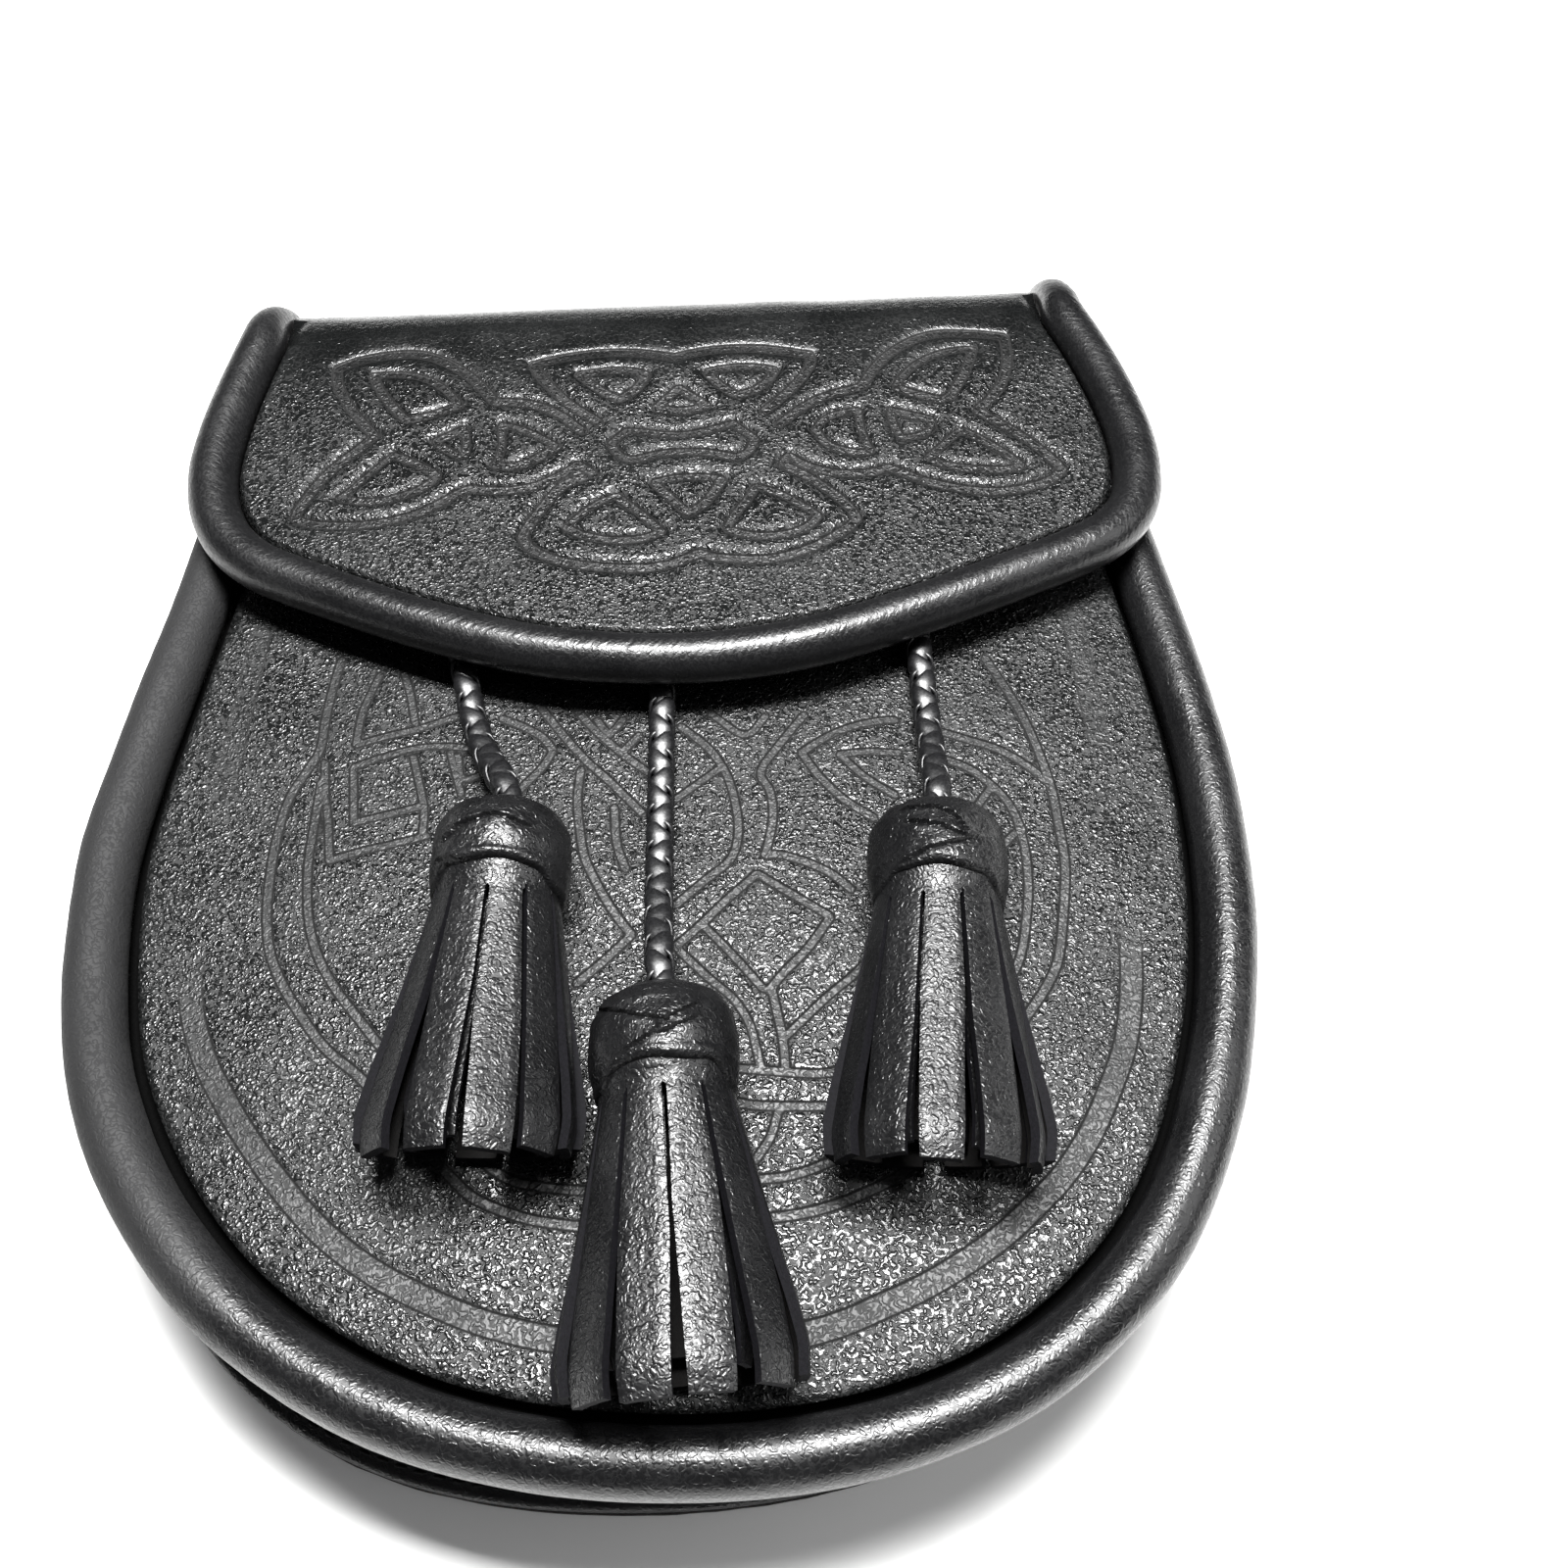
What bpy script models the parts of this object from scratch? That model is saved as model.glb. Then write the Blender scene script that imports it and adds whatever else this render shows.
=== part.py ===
"""A leather sporran pouch with three tassels, lying on its back with the front up.

Metres, +Z up, +Y towards the folded top of the flap, +X to the pouch's right as it is seen from above.
The pouch stands on the lower edge of its back and on the two ring keepers near its top.
"""

import math

import bpy
from mathutils import Vector

MM = 0.001

# Driving sizes, in millimetres.
GAP = 0.3
LEATHER = 2.4
BODY_ROLL_D = 10.4
FLAP_ROLL_D = 9.5
FRONT_Z = 34.0  # mid-height of the front panel and of the roll round it
FLAP_Z = 45.2  # mid-height of the flap where it lies over the front
BACK_TILT_DEG = 2.03  # the keepers lift the top of the back this much off the surface
BACK_INSET = 3.6  # the back's edge lies this far inside the outer side of the roll
BACK_LEAN_X = -3.6  # the soft gusset has settled a little to the left
GUSSET_WALL = 2.0
GUSSET_BELLY = 2.2  # how far its wall bulges outwards at half height
GUSSET_FOOT_INSET = 1.0  # the foot reaches this far inside the wall
GUSSET_FOOT_FILLET = 0.8

FOLD_START_Y = 100.0
FOLD_DEPTH = 18.6
FLAP_TAIL_Y = 84.0
FOLD_ROLL_SHARE = 0.8  # of the flap roll's diameter, where its ends run over the fold

CORD_D = 4.6
CORD_HOLE_D = 5.4
KNOT_D = 9.0
KNOT_HEIGHT = 4.5
CORD_SPACING = 4.5

STUD_AT = (2.0, 52.0)
STUD_CAP_D = 12.5
STUD_NECK_D = 7.0
STUD_FLANGE = 1.6

RING_WIRE_D = 2.6
RING_BAR = 20.0
RING_BOW = 14.0
RING_CORNER = 3.0  # the bar's straight part stops this far short of its ends
RING_SHOULDER = 1.0  # the bow starts this far out from the bar
RING_AT = (58.0, 66.0)
KEEPER_LEATHER = 1.25
KEEPER_WIDTH = 15.0
KEEPER_LENGTH = 26.0
KEEPER_FIT = 0.25
KEEPER_SEAM = 0.1  # between its two leathers where they are sewn together
KEEPER_WRAP_DEG = 240.0
KEEPER_NECK = 1.2  # the loop closes this far behind the bar, as a share of the loop's radius

STRIPS = 13
SAMPLES_PER_STRIP = 3
STRIP_GROOVE = 0.11  # depth of the groove between strips, as a share of the half width
CROWN_HEIGHT = 11.7  # of a tassel's axis over the front panel, at its crown

# Centre line of each roll, from its two ends down to its lowest point: y, left x, right x.
BODY_ROWS = (
    (99.0, -81.5, 84.0),
    (70.0, -85.2, 88.2),
    (44.0, -88.5, 90.8),
    (22.0, -92.1, 92.7),
    (2.0, -95.1, 93.9),
    (-12.0, -96.6, 93.9),
    (-26.0, -96.3, 93.0),
    (-40.0, -94.6, 91.2),
    (-54.0, -91.2, 88.2),
    (-68.0, -84.8, 83.6),
    (-81.0, -75.9, 77.2),
    (-92.0, -65.4, 69.2),
    (-102.0, -51.2, 57.6),
    (-109.5, -34.8, 43.6),
    (-114.2, -15.5, 26.5),
)
BODY_LOWEST = (6.5, -115.9)
FLAP_ROWS = (
    (100.0, -81.2, 84.4),
    (90.0, -83.3, 87.6),
    (78.0, -85.4, 90.6),
    (66.0, -86.2, 92.3),
    (57.0, -85.0, 92.2),
    (49.0, -81.6, 90.4),
    (43.0, -76.4, 86.4),
    (38.0, -68.0, 78.6),
    (33.0, -57.6, 67.0),
    (28.0, -46.8, 54.5),
    (23.5, -35.5, 42.0),
    (20.0, -24.5, 31.0),
    (17.5, -11.5, 18.5),
)
FLAP_LOWEST = (3.8, 16.4)

# Tassel sections: along the axis, half width, half height, height of the axis over the front panel.
TASSEL_SECTIONS = (
    (0.0, 4.2, 4.2, CROWN_HEIGHT),
    (0.7, 7.2, 7.0, CROWN_HEIGHT),
    (2.4, 9.8, 9.5, CROWN_HEIGHT),
    (5.0, 11.1, 10.9, CROWN_HEIGHT),
    (9.0, 11.4, 11.3, CROWN_HEIGHT),
    (13.0, 11.4, 11.0, 11.5),
    (15.6, 10.8, 10.2, 11.0),
    (17.0, 10.3, 9.6, 10.6),
    (24.0, 11.4, 9.8, 10.4),
    (36.0, 13.4, 10.0, 10.5),
    (49.0, 15.7, 10.5, 10.9),
    (60.0, 17.2, 11.0, 11.4),
)
SKIRT_START = 17.0

# Tassels: name, crown x, crown y, turn in degrees, length and half width of the skirt's end.
TASSELS = (
    ("left", -26.2, -15.2, -3.6, 59.0, 17.2),
    ("middle", -1.0, -49.6, 2.4, 59.5, 18.4),
    ("right", 45.4, -19.4, -5.6, 60.0, 17.2),
)

# Cord routes from the knot behind the front panel to the tassel's crown: x, y, z.
CORD_ROUTES = {
    "left": (
        (-42.0, 44.0, 32.8), (-42.0, 43.9, 36.4), (-41.7, 42.2, 39.6), (-41.0, 38.4, 40.8),
        (-39.9, 33.6, 39.4), (-38.6, 28.6, 37.9), (-36.6, 19.6, 37.9), (-34.4, 9.4, 38.2),
        (-31.8, 1.4, 40.2), (-28.8, -5.4, 44.2), (-26.4, -11.0, 46.7), (-26.2, -14.8, 46.9),
    ),
    "middle": (
        (-0.3, 34.0, 32.8), (-0.3, 33.9, 36.4), (-0.3, 32.2, 39.6), (-0.3, 28.4, 40.8),
        (-0.4, 23.6, 39.2), (-0.5, 18.6, 37.9), (-0.8, 6.0, 37.9), (-1.2, -10.0, 37.9),
        (-1.5, -22.0, 38.6), (-1.5, -32.4, 41.6), (-1.3, -40.6, 45.3), (-1.1, -45.6, 46.7),
        (-1.0, -49.2, 46.9),
    ),
    "right": (
        (46.9, 45.0, 32.8), (46.9, 44.9, 36.4), (46.9, 43.2, 39.6), (46.9, 39.4, 40.8),
        (46.9, 34.6, 39.4), (46.9, 29.6, 37.9), (46.9, 19.6, 37.9), (46.8, 6.0, 38.2),
        (46.6, -2.4, 40.4), (46.2, -9.4, 44.2), (45.8, -15.2, 46.7), (45.4, -19.0, 46.9),
    ),
}

SPAN_SAMPLES = 12
ROUTE_SPACING = 9.0
FOLD_STEPS = 12
BOW_STEPS = 14
LOOP_STEPS = 12
CIRCLE_SIDES = 24


def back_z(y):
    """Height of the back panel's lower face at y."""
    lowest_y = BODY_LOWEST[1] - BODY_ROLL_D / 2 + BACK_INSET
    return (y - lowest_y) * math.tan(math.radians(BACK_TILT_DEG))


def smooth_line(points, spacing):
    """Evenly spaced points on a Catmull-Rom curve through the given ones."""
    knots = [Vector(p) for p in points]
    knots = [2 * knots[0] - knots[1], *knots, 2 * knots[-1] - knots[-2]]
    dense = [knots[1]]
    for a, b, c, d in zip(knots, knots[1:], knots[2:], knots[3:]):
        for step in range(1, SPAN_SAMPLES + 1):
            t = step / SPAN_SAMPLES
            dense.append(
                0.5 * (2 * b + (c - a) * t + (2 * a - 5 * b + 4 * c - d) * t**2 + (3 * b - a - 3 * c + d) * t**3)
            )
    reach = [0.0]
    for a, b in zip(dense, dense[1:]):
        reach.append(reach[-1] + (b - a).length)
    count = max(2, round(reach[-1] / spacing))
    line, i = [], 0
    for k in range(count + 1):
        wanted = reach[-1] * k / count
        while i < len(reach) - 2 and reach[i + 1] < wanted:
            i += 1
        share = (wanted - reach[i]) / (reach[i + 1] - reach[i])
        line.append(dense[i].lerp(dense[i + 1], share))
    return line


def whole_route(rows, lowest):
    """A roll's centre line, from its left end round the bottom to its right end."""
    left = [(left_x, y) for y, left_x, _ in rows]
    right = [(right_x, y) for y, _, right_x in reversed(rows)]
    return smooth_line([*left, lowest, *right], ROUTE_SPACING)


def offset_route(route, outwards):
    """The route moved square to itself, away from the pouch's middle."""
    moved = []
    for i, point in enumerate(route):
        along = route[min(i + 1, len(route) - 1)] - route[max(i - 1, 0)]
        moved.append(point + outwards * Vector((along.y, -along.x)).normalized())
    return moved


def leather(name, colour, roughness, metallic=0.0):
    """A Principled material in one plain finish."""
    material = bpy.data.materials.new(name)
    material.use_nodes = True
    shader = material.node_tree.nodes["Principled BSDF"]
    shader.inputs["Base Color"].default_value = (*colour, 1.0)
    shader.inputs["Roughness"].default_value = roughness
    shader.inputs["Metallic"].default_value = metallic
    return material


def add_object(name, data, material, root):
    data.materials.append(material)
    obj = bpy.data.objects.new(name, data)
    bpy.context.scene.collection.objects.link(obj)
    obj.parent = root
    return obj


def mesh_object(name, corners, faces, material, root):
    """An object from corners in millimetres and faces that look outwards."""
    mesh = bpy.data.meshes.new(name)
    mesh.from_pydata([Vector(c) * MM for c in corners], [], faces)
    return add_object(name, mesh, material, root)


def loft(name, rings, material, root):
    """One closed skin through rings of equal length, with a flat cap at each end."""
    count = len(rings[0])
    corners = [c for ring in rings for c in ring]
    faces = [tuple(reversed(range(count))), tuple(range(len(corners) - count, len(corners)))]
    for row in range(len(rings) - 1):
        for k in range(count):
            low, high = row * count, (row + 1) * count
            turn = (k + 1) % count
            faces.append((low + k, low + turn, high + turn, high + k))
    return mesh_object(name, corners, faces, material, root)


def plate(name, outline, lower, upper, material, root):
    """A flat sheet inside a closed outline that runs counter-clockwise from above."""
    rings = [[(p.x, p.y, height(p.y)) for p in outline] for height in (lower, upper)]
    return loft(name, rings, material, root)


def tube(name, points, diameter, material, root, sides=12, cyclic=False, shares=None):
    """A round roll, cord or wire along the points, with the share of its diameter that it has at each."""
    curve = bpy.data.curves.new(name, "CURVE")
    curve.dimensions = "3D"
    curve.bevel_depth = diameter / 2 * MM
    curve.bevel_resolution = sides // 4 - 1
    curve.use_fill_caps = True
    spline = curve.splines.new("POLY")
    spline.use_cyclic_u = cyclic
    spline.points.add(len(points) - 1)
    for knot, point in zip(spline.points, points):
        knot.co = (*(Vector(point) * MM), 1.0)
    spline.points.foreach_set("radius", shares or [1.0] * len(points))
    return add_object(name, curve, material, root)


def circle(radius_x, radius_y, count, depth_at=lambda k: 1.0):
    """Corners round an ellipse, each drawn in by its own share."""
    turns = [2 * math.pi * k / count for k in range(count)]
    return [
        (radius_x * depth_at(k) * math.cos(t), radius_y * depth_at(k) * math.sin(t))
        for k, t in enumerate(turns)
    ]


def turned(name, profile, at, material, root):
    """A solid turned about an upright axis: the profile's rows are radius and height."""
    rings = [[(x, y, height) for x, y in circle(radius, radius, CIRCLE_SIDES)] for radius, height in profile]
    obj = loft(name, rings, material, root)
    obj.location = (at[0] * MM, at[1] * MM, 0.0)
    return obj


def back_outline(route):
    edge = offset_route(route, BODY_ROLL_D / 2 - BACK_INSET)
    return [Vector((p.x + BACK_LEAN_X, p.y)) for p in edge]


def add_back_panel(route, material, root):
    """The flat back, raised at its top by the keepers under it."""
    return plate("back_panel", back_outline(route), back_z, lambda y: back_z(y) + LEATHER, material, root)


def add_gusset(route, material, root):
    """The wall round the sides and bottom, with a foot turned out on the back panel."""
    top_z = FRONT_Z - LEATHER / 2 - GAP
    foot_out = BODY_ROLL_D / 2 - BACK_INSET
    wall_out = -BODY_ROLL_D / 2 - 2 * GAP
    belly_out = wall_out + GUSSET_BELLY
    foot_in = belly_out - GUSSET_WALL - GUSSET_FOOT_INSET
    foot_lift = LEATHER + GAP
    # Profile rows: distance outwards, share of the height from foot to top, lift over that.
    profile = (
        (foot_in, 0.0, 0.0),
        (foot_in, 0.0, GUSSET_WALL),
        (belly_out - GUSSET_WALL, 0.5, 0.0),
        (wall_out - GUSSET_WALL, 1.0, 0.0),
        (wall_out, 1.0, 0.0),
        (belly_out, 0.5, 0.0),
        (belly_out, 0.0, GUSSET_WALL + GUSSET_FOOT_FILLET),
        (foot_out, 0.0, GUSSET_WALL),
        (foot_out, 0.0, 0.0),
    )
    rows = [offset_route(route, out) for out, _, _ in profile]
    rings = []
    for i in range(len(route)):
        ring = []
        for row, (_, share, lift) in zip(rows, profile):
            foot_z = back_z(row[i].y) + foot_lift
            lean = BACK_LEAN_X * (1 - share)
            ring.append((row[i].x + lean, row[i].y, foot_z + (top_z - foot_z) * share + lift))
        rings.append(ring)
    return loft("gusset", rings, material, root)


def add_front_panel(route, material, root):
    """The front inside the roll, with a punched hole for each tassel cord."""
    outline = offset_route(route, -BODY_ROLL_D / 2 - GAP)
    low, high = FRONT_Z - LEATHER / 2, FRONT_Z + LEATHER / 2
    panel = plate("front_panel", outline, lambda y: low, lambda y: high, material, root)
    for side, points in CORD_ROUTES.items():
        profile = ((CORD_HOLE_D / 2, low - LEATHER), (CORD_HOLE_D / 2, high + LEATHER))
        cutter = turned(f"hole_{side}", profile, points[0], material, root)
        cutter.hide_render = True
        cutter.display_type = "WIRE"
        cut = panel.modifiers.new(f"hole_{side}", "BOOLEAN")
        cut.object = cutter
        cut.solver = "EXACT"
    return panel


def add_body_roll(route, material, root):
    points = [(p.x, p.y, FRONT_Z) for p in route]
    return tube("body_roll", points, BODY_ROLL_D, material, root)


def fold_profile():
    """The flap's mid-line from the front over the top to the back: y, z and the way it faces."""
    tail_z = back_z(FOLD_START_Y) - GAP - LEATHER / 2
    middle_z, half = (FLAP_Z + tail_z) / 2, (FLAP_Z - tail_z) / 2
    rows = []
    for step in range(FOLD_STEPS + 1):
        turn = math.pi / 2 - math.pi * step / FOLD_STEPS
        y, z = FOLD_START_Y + FOLD_DEPTH * math.cos(turn), middle_z + half * math.sin(turn)
        facing = Vector((half * math.cos(turn), FOLD_DEPTH * math.sin(turn))).normalized()
        rows.append((y, z, facing))
    return rows


def add_flap(route, material, root):
    """The flap lies over the front, folds over the top and laps the back from outside."""
    edge = offset_route(route, -FLAP_ROLL_D / 2 - GAP)
    edge = [p for p in edge if p.y < FOLD_START_Y - 1.0]
    left_x, right_x = route[0].x + FLAP_ROLL_D / 2 + GAP, route[-1].x - FLAP_ROLL_D / 2 - GAP
    bends = fold_profile()
    tail = (FLAP_TAIL_Y, back_z(FLAP_TAIL_Y) - GAP - LEATHER / 2, bends[-1][2])
    bends.append(tail)
    up = Vector((0.0, 1.0))
    # Rim rows run from the tail's left corner round the bottom to its right corner: x, y, z, facing.
    rim = [(left_x, *row) for row in reversed(bends)]
    rim += [(p.x, p.y, FLAP_Z, up) for p in edge]
    rim += [(right_x, *row) for row in bends]
    corners = []
    for side in (0.5, -0.5):
        for x, y, z, facing in rim:
            corners.append((x, y + facing.x * side * LEATHER, z + facing.y * side * LEATHER))
    count, strips = len(rim), len(bends)
    outer_flat = list(range(strips - 1, count - strips + 1))
    faces = [tuple(outer_flat), tuple(count + k for k in reversed(outer_flat))]
    for k in range(strips - 1):
        left, right = k, count - 1 - k
        faces.append((left, left + 1, right - 1, right))
        faces.append((count + right, count + right - 1, count + left + 1, count + left))
    for k in range(count):
        turn = (k + 1) % count
        faces.append((k, count + k, count + turn, turn))
    return mesh_object("flap", corners, faces, material, root)


def add_flap_roll(route, material, root):
    """The roll round the flap, whose ends run over the fold at both sides."""
    bends = [(y, z) for y, z, _ in fold_profile()]
    drawn_in = FLAP_ROLL_D / 2 * (1 - FOLD_ROLL_SHARE)
    ease = [min(1.0, 4 * k / FOLD_STEPS) for k in range(len(bends))]
    left = [(route[0].x + drawn_in * share, y, z) for share, (y, z) in zip(ease, bends)]
    right = [(route[-1].x - drawn_in * share, y, z) for share, (y, z) in zip(ease, bends)]
    middle = [(p.x, p.y, FLAP_Z) for p in route[1:-1]]
    ends = [1 - (1 - FOLD_ROLL_SHARE) * share for share in ease]
    shares = [*reversed(ends), *[1.0] * len(middle), *ends]
    return tube("flap_roll", [*reversed(left), *middle, *right], FLAP_ROLL_D, material, root, shares=shares)


def add_tassel(side, at, turn_deg, length, end_half_width, material, root):
    """A wrapped head and a skirt of cut strips, fused, lying on the front panel."""
    count = STRIPS * SAMPLES_PER_STRIP
    table_length, table_half_width = TASSEL_SECTIONS[-1][:2]
    rings = []
    for along, half_width, half_height, height in TASSEL_SECTIONS:
        skirt = max(0.0, (along - SKIRT_START) / (table_length - SKIRT_START))
        groove = STRIP_GROOVE * min(1.0, 4 * skirt)
        wide = half_width + (end_half_width - table_half_width) * skirt
        along += (length - table_length) * skirt
        ring = circle(wide, half_height, count, lambda k: 1 - groove * (k % SAMPLES_PER_STRIP == 0))
        rings.append([(x, -along, height + z) for x, z in ring])
    tassel = loft(f"tassel_{side}", rings, material, root)
    tassel.location = (at[0] * MM, at[1] * MM, (FRONT_Z + LEATHER / 2) * MM)
    tassel.rotation_euler.z = math.radians(turn_deg)
    return tassel


def add_cord(side, material, root):
    return tube(f"cord_{side}", smooth_line(CORD_ROUTES[side], CORD_SPACING), CORD_D, material, root)


def add_knot(side, material, root):
    """The cord's stopper knot, under its hole in the front panel."""
    top = FRONT_Z - LEATHER / 2 - GAP
    bottom = top - KNOT_HEIGHT
    inset = KNOT_HEIGHT / 4
    profile = (
        (KNOT_D / 2 - inset, bottom),
        (KNOT_D / 2, bottom + inset),
        (KNOT_D / 2, top - inset),
        (KNOT_D / 2 - inset, top),
    )
    return turned(f"knot_{side}", profile, CORD_ROUTES[side][0], material, root)


def add_stud(material, root):
    """The press stud that holds the flap, one plain piece."""
    low = FRONT_Z + LEATHER / 2 + GAP
    high = FLAP_Z - LEATHER / 2 - GAP
    cap, neck = STUD_CAP_D / 2, STUD_NECK_D / 2
    profile = ((cap, low), (cap, low + STUD_FLANGE), (neck, low + 2 * STUD_FLANGE))
    profile += ((neck, high - 2 * STUD_FLANGE), (cap, high - STUD_FLANGE), (cap, high))
    return turned("press_stud", profile, STUD_AT, material, root)


def ring_middle_z():
    return KEEPER_LEATHER + KEEPER_FIT + RING_WIRE_D / 2


def add_ring(name, side, material, root):
    """A D ring: a straight bar in the keeper and a bow towards the pouch's side."""
    straight = RING_BAR / 2 - RING_CORNER
    points = [(0.0, -straight, 0.0), (0.0, 0.0, 0.0), (0.0, straight, 0.0)]
    for step in range(BOW_STEPS + 1):
        turn = math.pi / 2 - math.pi * step / BOW_STEPS
        reach = RING_SHOULDER + (RING_BOW - RING_SHOULDER) * math.cos(turn)
        points.append((reach, RING_BAR / 2 * math.sin(turn), 0.0))
    ring = tube(name, points, RING_WIRE_D, material, root, sides=8, cyclic=True)
    ring.location = (side * RING_AT[0] * MM, RING_AT[1] * MM, ring_middle_z() * MM)
    ring.rotation_euler.z = 0.0 if side > 0 else math.pi
    return ring


def add_keeper(name, side, material, root):
    """A leather tab folded round the ring's bar, its two ends sewn under the back panel."""
    inner = RING_WIRE_D / 2 + KEEPER_FIT
    outer = inner + KEEPER_LEATHER
    neck_x = -KEEPER_NECK * outer
    lower_top = inner - KEEPER_SEAM
    lower_bottom = lower_top - KEEPER_LEATHER
    outside = [(-KEEPER_LENGTH, lower_bottom), (neck_x, lower_bottom)]
    inside = [(-KEEPER_LENGTH, lower_top), (neck_x, lower_top)]
    for step in range(LOOP_STEPS + 1):
        turn = math.radians(90.0 - KEEPER_WRAP_DEG * (1 - step / LOOP_STEPS))
        outside.append((outer * math.cos(turn), outer * math.sin(turn)))
        inside.append((inner * math.cos(turn), inner * math.sin(turn)))
    outside.append((-KEEPER_LENGTH, outer))
    inside += [(neck_x, inner), (-KEEPER_LENGTH, inner)]
    section = outside + inside[::-1]
    rings = [[(x, y, z) for x, z in section] for y in (KEEPER_WIDTH / 2, -KEEPER_WIDTH / 2)]
    keeper = loft(name, rings, material, root)
    keeper.location = (side * RING_AT[0] * MM, RING_AT[1] * MM, ring_middle_z() * MM)
    keeper.rotation_euler.z = 0.0 if side > 0 else math.pi
    return keeper


def add_root(body_sides):
    """The empty that puts the middle of the pouch's box over the origin."""
    root = bpy.data.objects.new("sporran", None)
    bpy.context.scene.collection.objects.link(root)
    top = FOLD_START_Y + FOLD_DEPTH + FOLD_ROLL_SHARE * FLAP_ROLL_D / 2
    bottom = BODY_LOWEST[1] - BODY_ROLL_D / 2
    root.location = (-sum(body_sides) / 2 * MM, -(top + bottom) / 2 * MM, 0.0)
    return root


def main():
    for obj in list(bpy.data.objects):
        bpy.data.objects.remove(obj, do_unlink=True)
    smooth = leather("black_smooth_leather", (0.012, 0.012, 0.013), 0.38)
    grained = leather("black_grained_leather", (0.014, 0.015, 0.015), 0.46)
    braid = leather("black_braided_cord", (0.010, 0.010, 0.011), 0.30)
    steel = leather("nickel_plated_steel", (0.62, 0.62, 0.60), 0.22, metallic=1.0)
    body, flap = whole_route(BODY_ROWS, BODY_LOWEST), whole_route(FLAP_ROWS, FLAP_LOWEST)
    root = add_root((min(p.x for p in body), max(p.x for p in body)))
    add_back_panel(body, smooth, root)
    add_gusset(body, smooth, root)
    add_front_panel(body, grained, root)
    add_body_roll(body, smooth, root)
    add_flap(flap, grained, root)
    add_flap_roll(flap, smooth, root)
    for side, x, y, turn_deg, length, end_half_width in TASSELS:
        add_tassel(side, (x, y), turn_deg, length, end_half_width, smooth, root)
        add_cord(side, braid, root)
        add_knot(side, braid, root)
    add_stud(steel, root)
    for name, side in (("left", -1), ("right", 1)):
        add_ring(f"d_ring_{name}", side, steel, root)
        add_keeper(f"ring_keeper_{name}", side, smooth, root)


main()
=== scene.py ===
"""The looks of a black leather sporran pouch with stamped knotwork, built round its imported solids."""

import math

import bpy
import numpy as np
from bpy.props import FloatProperty, FloatVectorProperty, IntProperty, PointerProperty
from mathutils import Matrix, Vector, geometry


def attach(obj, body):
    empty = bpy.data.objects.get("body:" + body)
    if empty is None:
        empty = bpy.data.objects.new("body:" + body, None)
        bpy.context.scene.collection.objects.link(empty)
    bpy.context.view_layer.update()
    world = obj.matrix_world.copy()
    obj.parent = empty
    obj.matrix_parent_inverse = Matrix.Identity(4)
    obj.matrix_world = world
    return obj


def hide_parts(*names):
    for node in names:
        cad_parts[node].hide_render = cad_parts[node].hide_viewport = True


bl_info = {
    "name": "Sporran Pouch",
    "version": (1, 0, 0),
    "blender": (4, 5, 0),
    "location": "View3D > Sidebar > Sporran",
    "description": "A black leather sporran pouch with stamped knotwork and three tassels",
    "category": "Add Mesh",
}

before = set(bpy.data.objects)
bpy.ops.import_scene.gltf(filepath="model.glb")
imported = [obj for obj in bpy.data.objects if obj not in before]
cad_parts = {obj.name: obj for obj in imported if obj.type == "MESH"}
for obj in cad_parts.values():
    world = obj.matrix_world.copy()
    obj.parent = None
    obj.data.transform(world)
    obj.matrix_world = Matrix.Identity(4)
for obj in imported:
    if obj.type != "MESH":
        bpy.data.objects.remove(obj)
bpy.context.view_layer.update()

MM = 0.001
PLACE = (1.35, -0.65, 0.0)  # from the pouch's drawing, in mm, to the frame

# Sizes in mm, as in the solids where both have them.
LEATHER = 2.4
GAP = 0.3
BODY_ROLL_D = 10.4
FLAP_ROLL_D = 9.5
ROLL_LUMPS = 0.1  # a roll's radius is this much under its solid's, to leave room for its lumps
FRONT_Z = 34.0  # mid-height of the front panel and of the roll round it
FLAP_Z = 45.2  # mid-height of the flap over the front
SEAM_GROOVE = 1.3  # between the front panel and its roll
LEFT_GROOVE = 0.7  # the groove's further width on the left
BACK_TILT = math.tan(math.radians(2.03))  # the ring keepers lift the back's top
BACK_LOWEST_Y = -117.5
BACK_INSET = 3.6  # the back's edge lies this far inside the outer side of the roll
LEAN_X = -3.6  # the foot of the soft gusset lies this far to the left
SLUMP = 3.6  # and this much further towards its lower left
FOLD_Y = 100.0  # where the flap starts to bend over the top
FOLD_DEPTH = 18.6
FOLD_SAMPLES = 49
TAIL_Y = 84.0  # where the flap ends on the back
FOLD_ROLL_SHARE = 0.8  # of the flap roll's diameter, where its ends run over the fold
CORD_HOLE_D = 5.4
RING_AT = (58.0, 66.0)
RING_MIDDLE_Z = 2.8
RING_WIRE_R = 1.3
KEEPER_LEATHER = 1.25
KEEPER_LENGTH = 26.0
KEEPER_WIDTH = 15.0
NO_STAMP = 5.0  # the edge_mm of a face that has no channels

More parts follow.
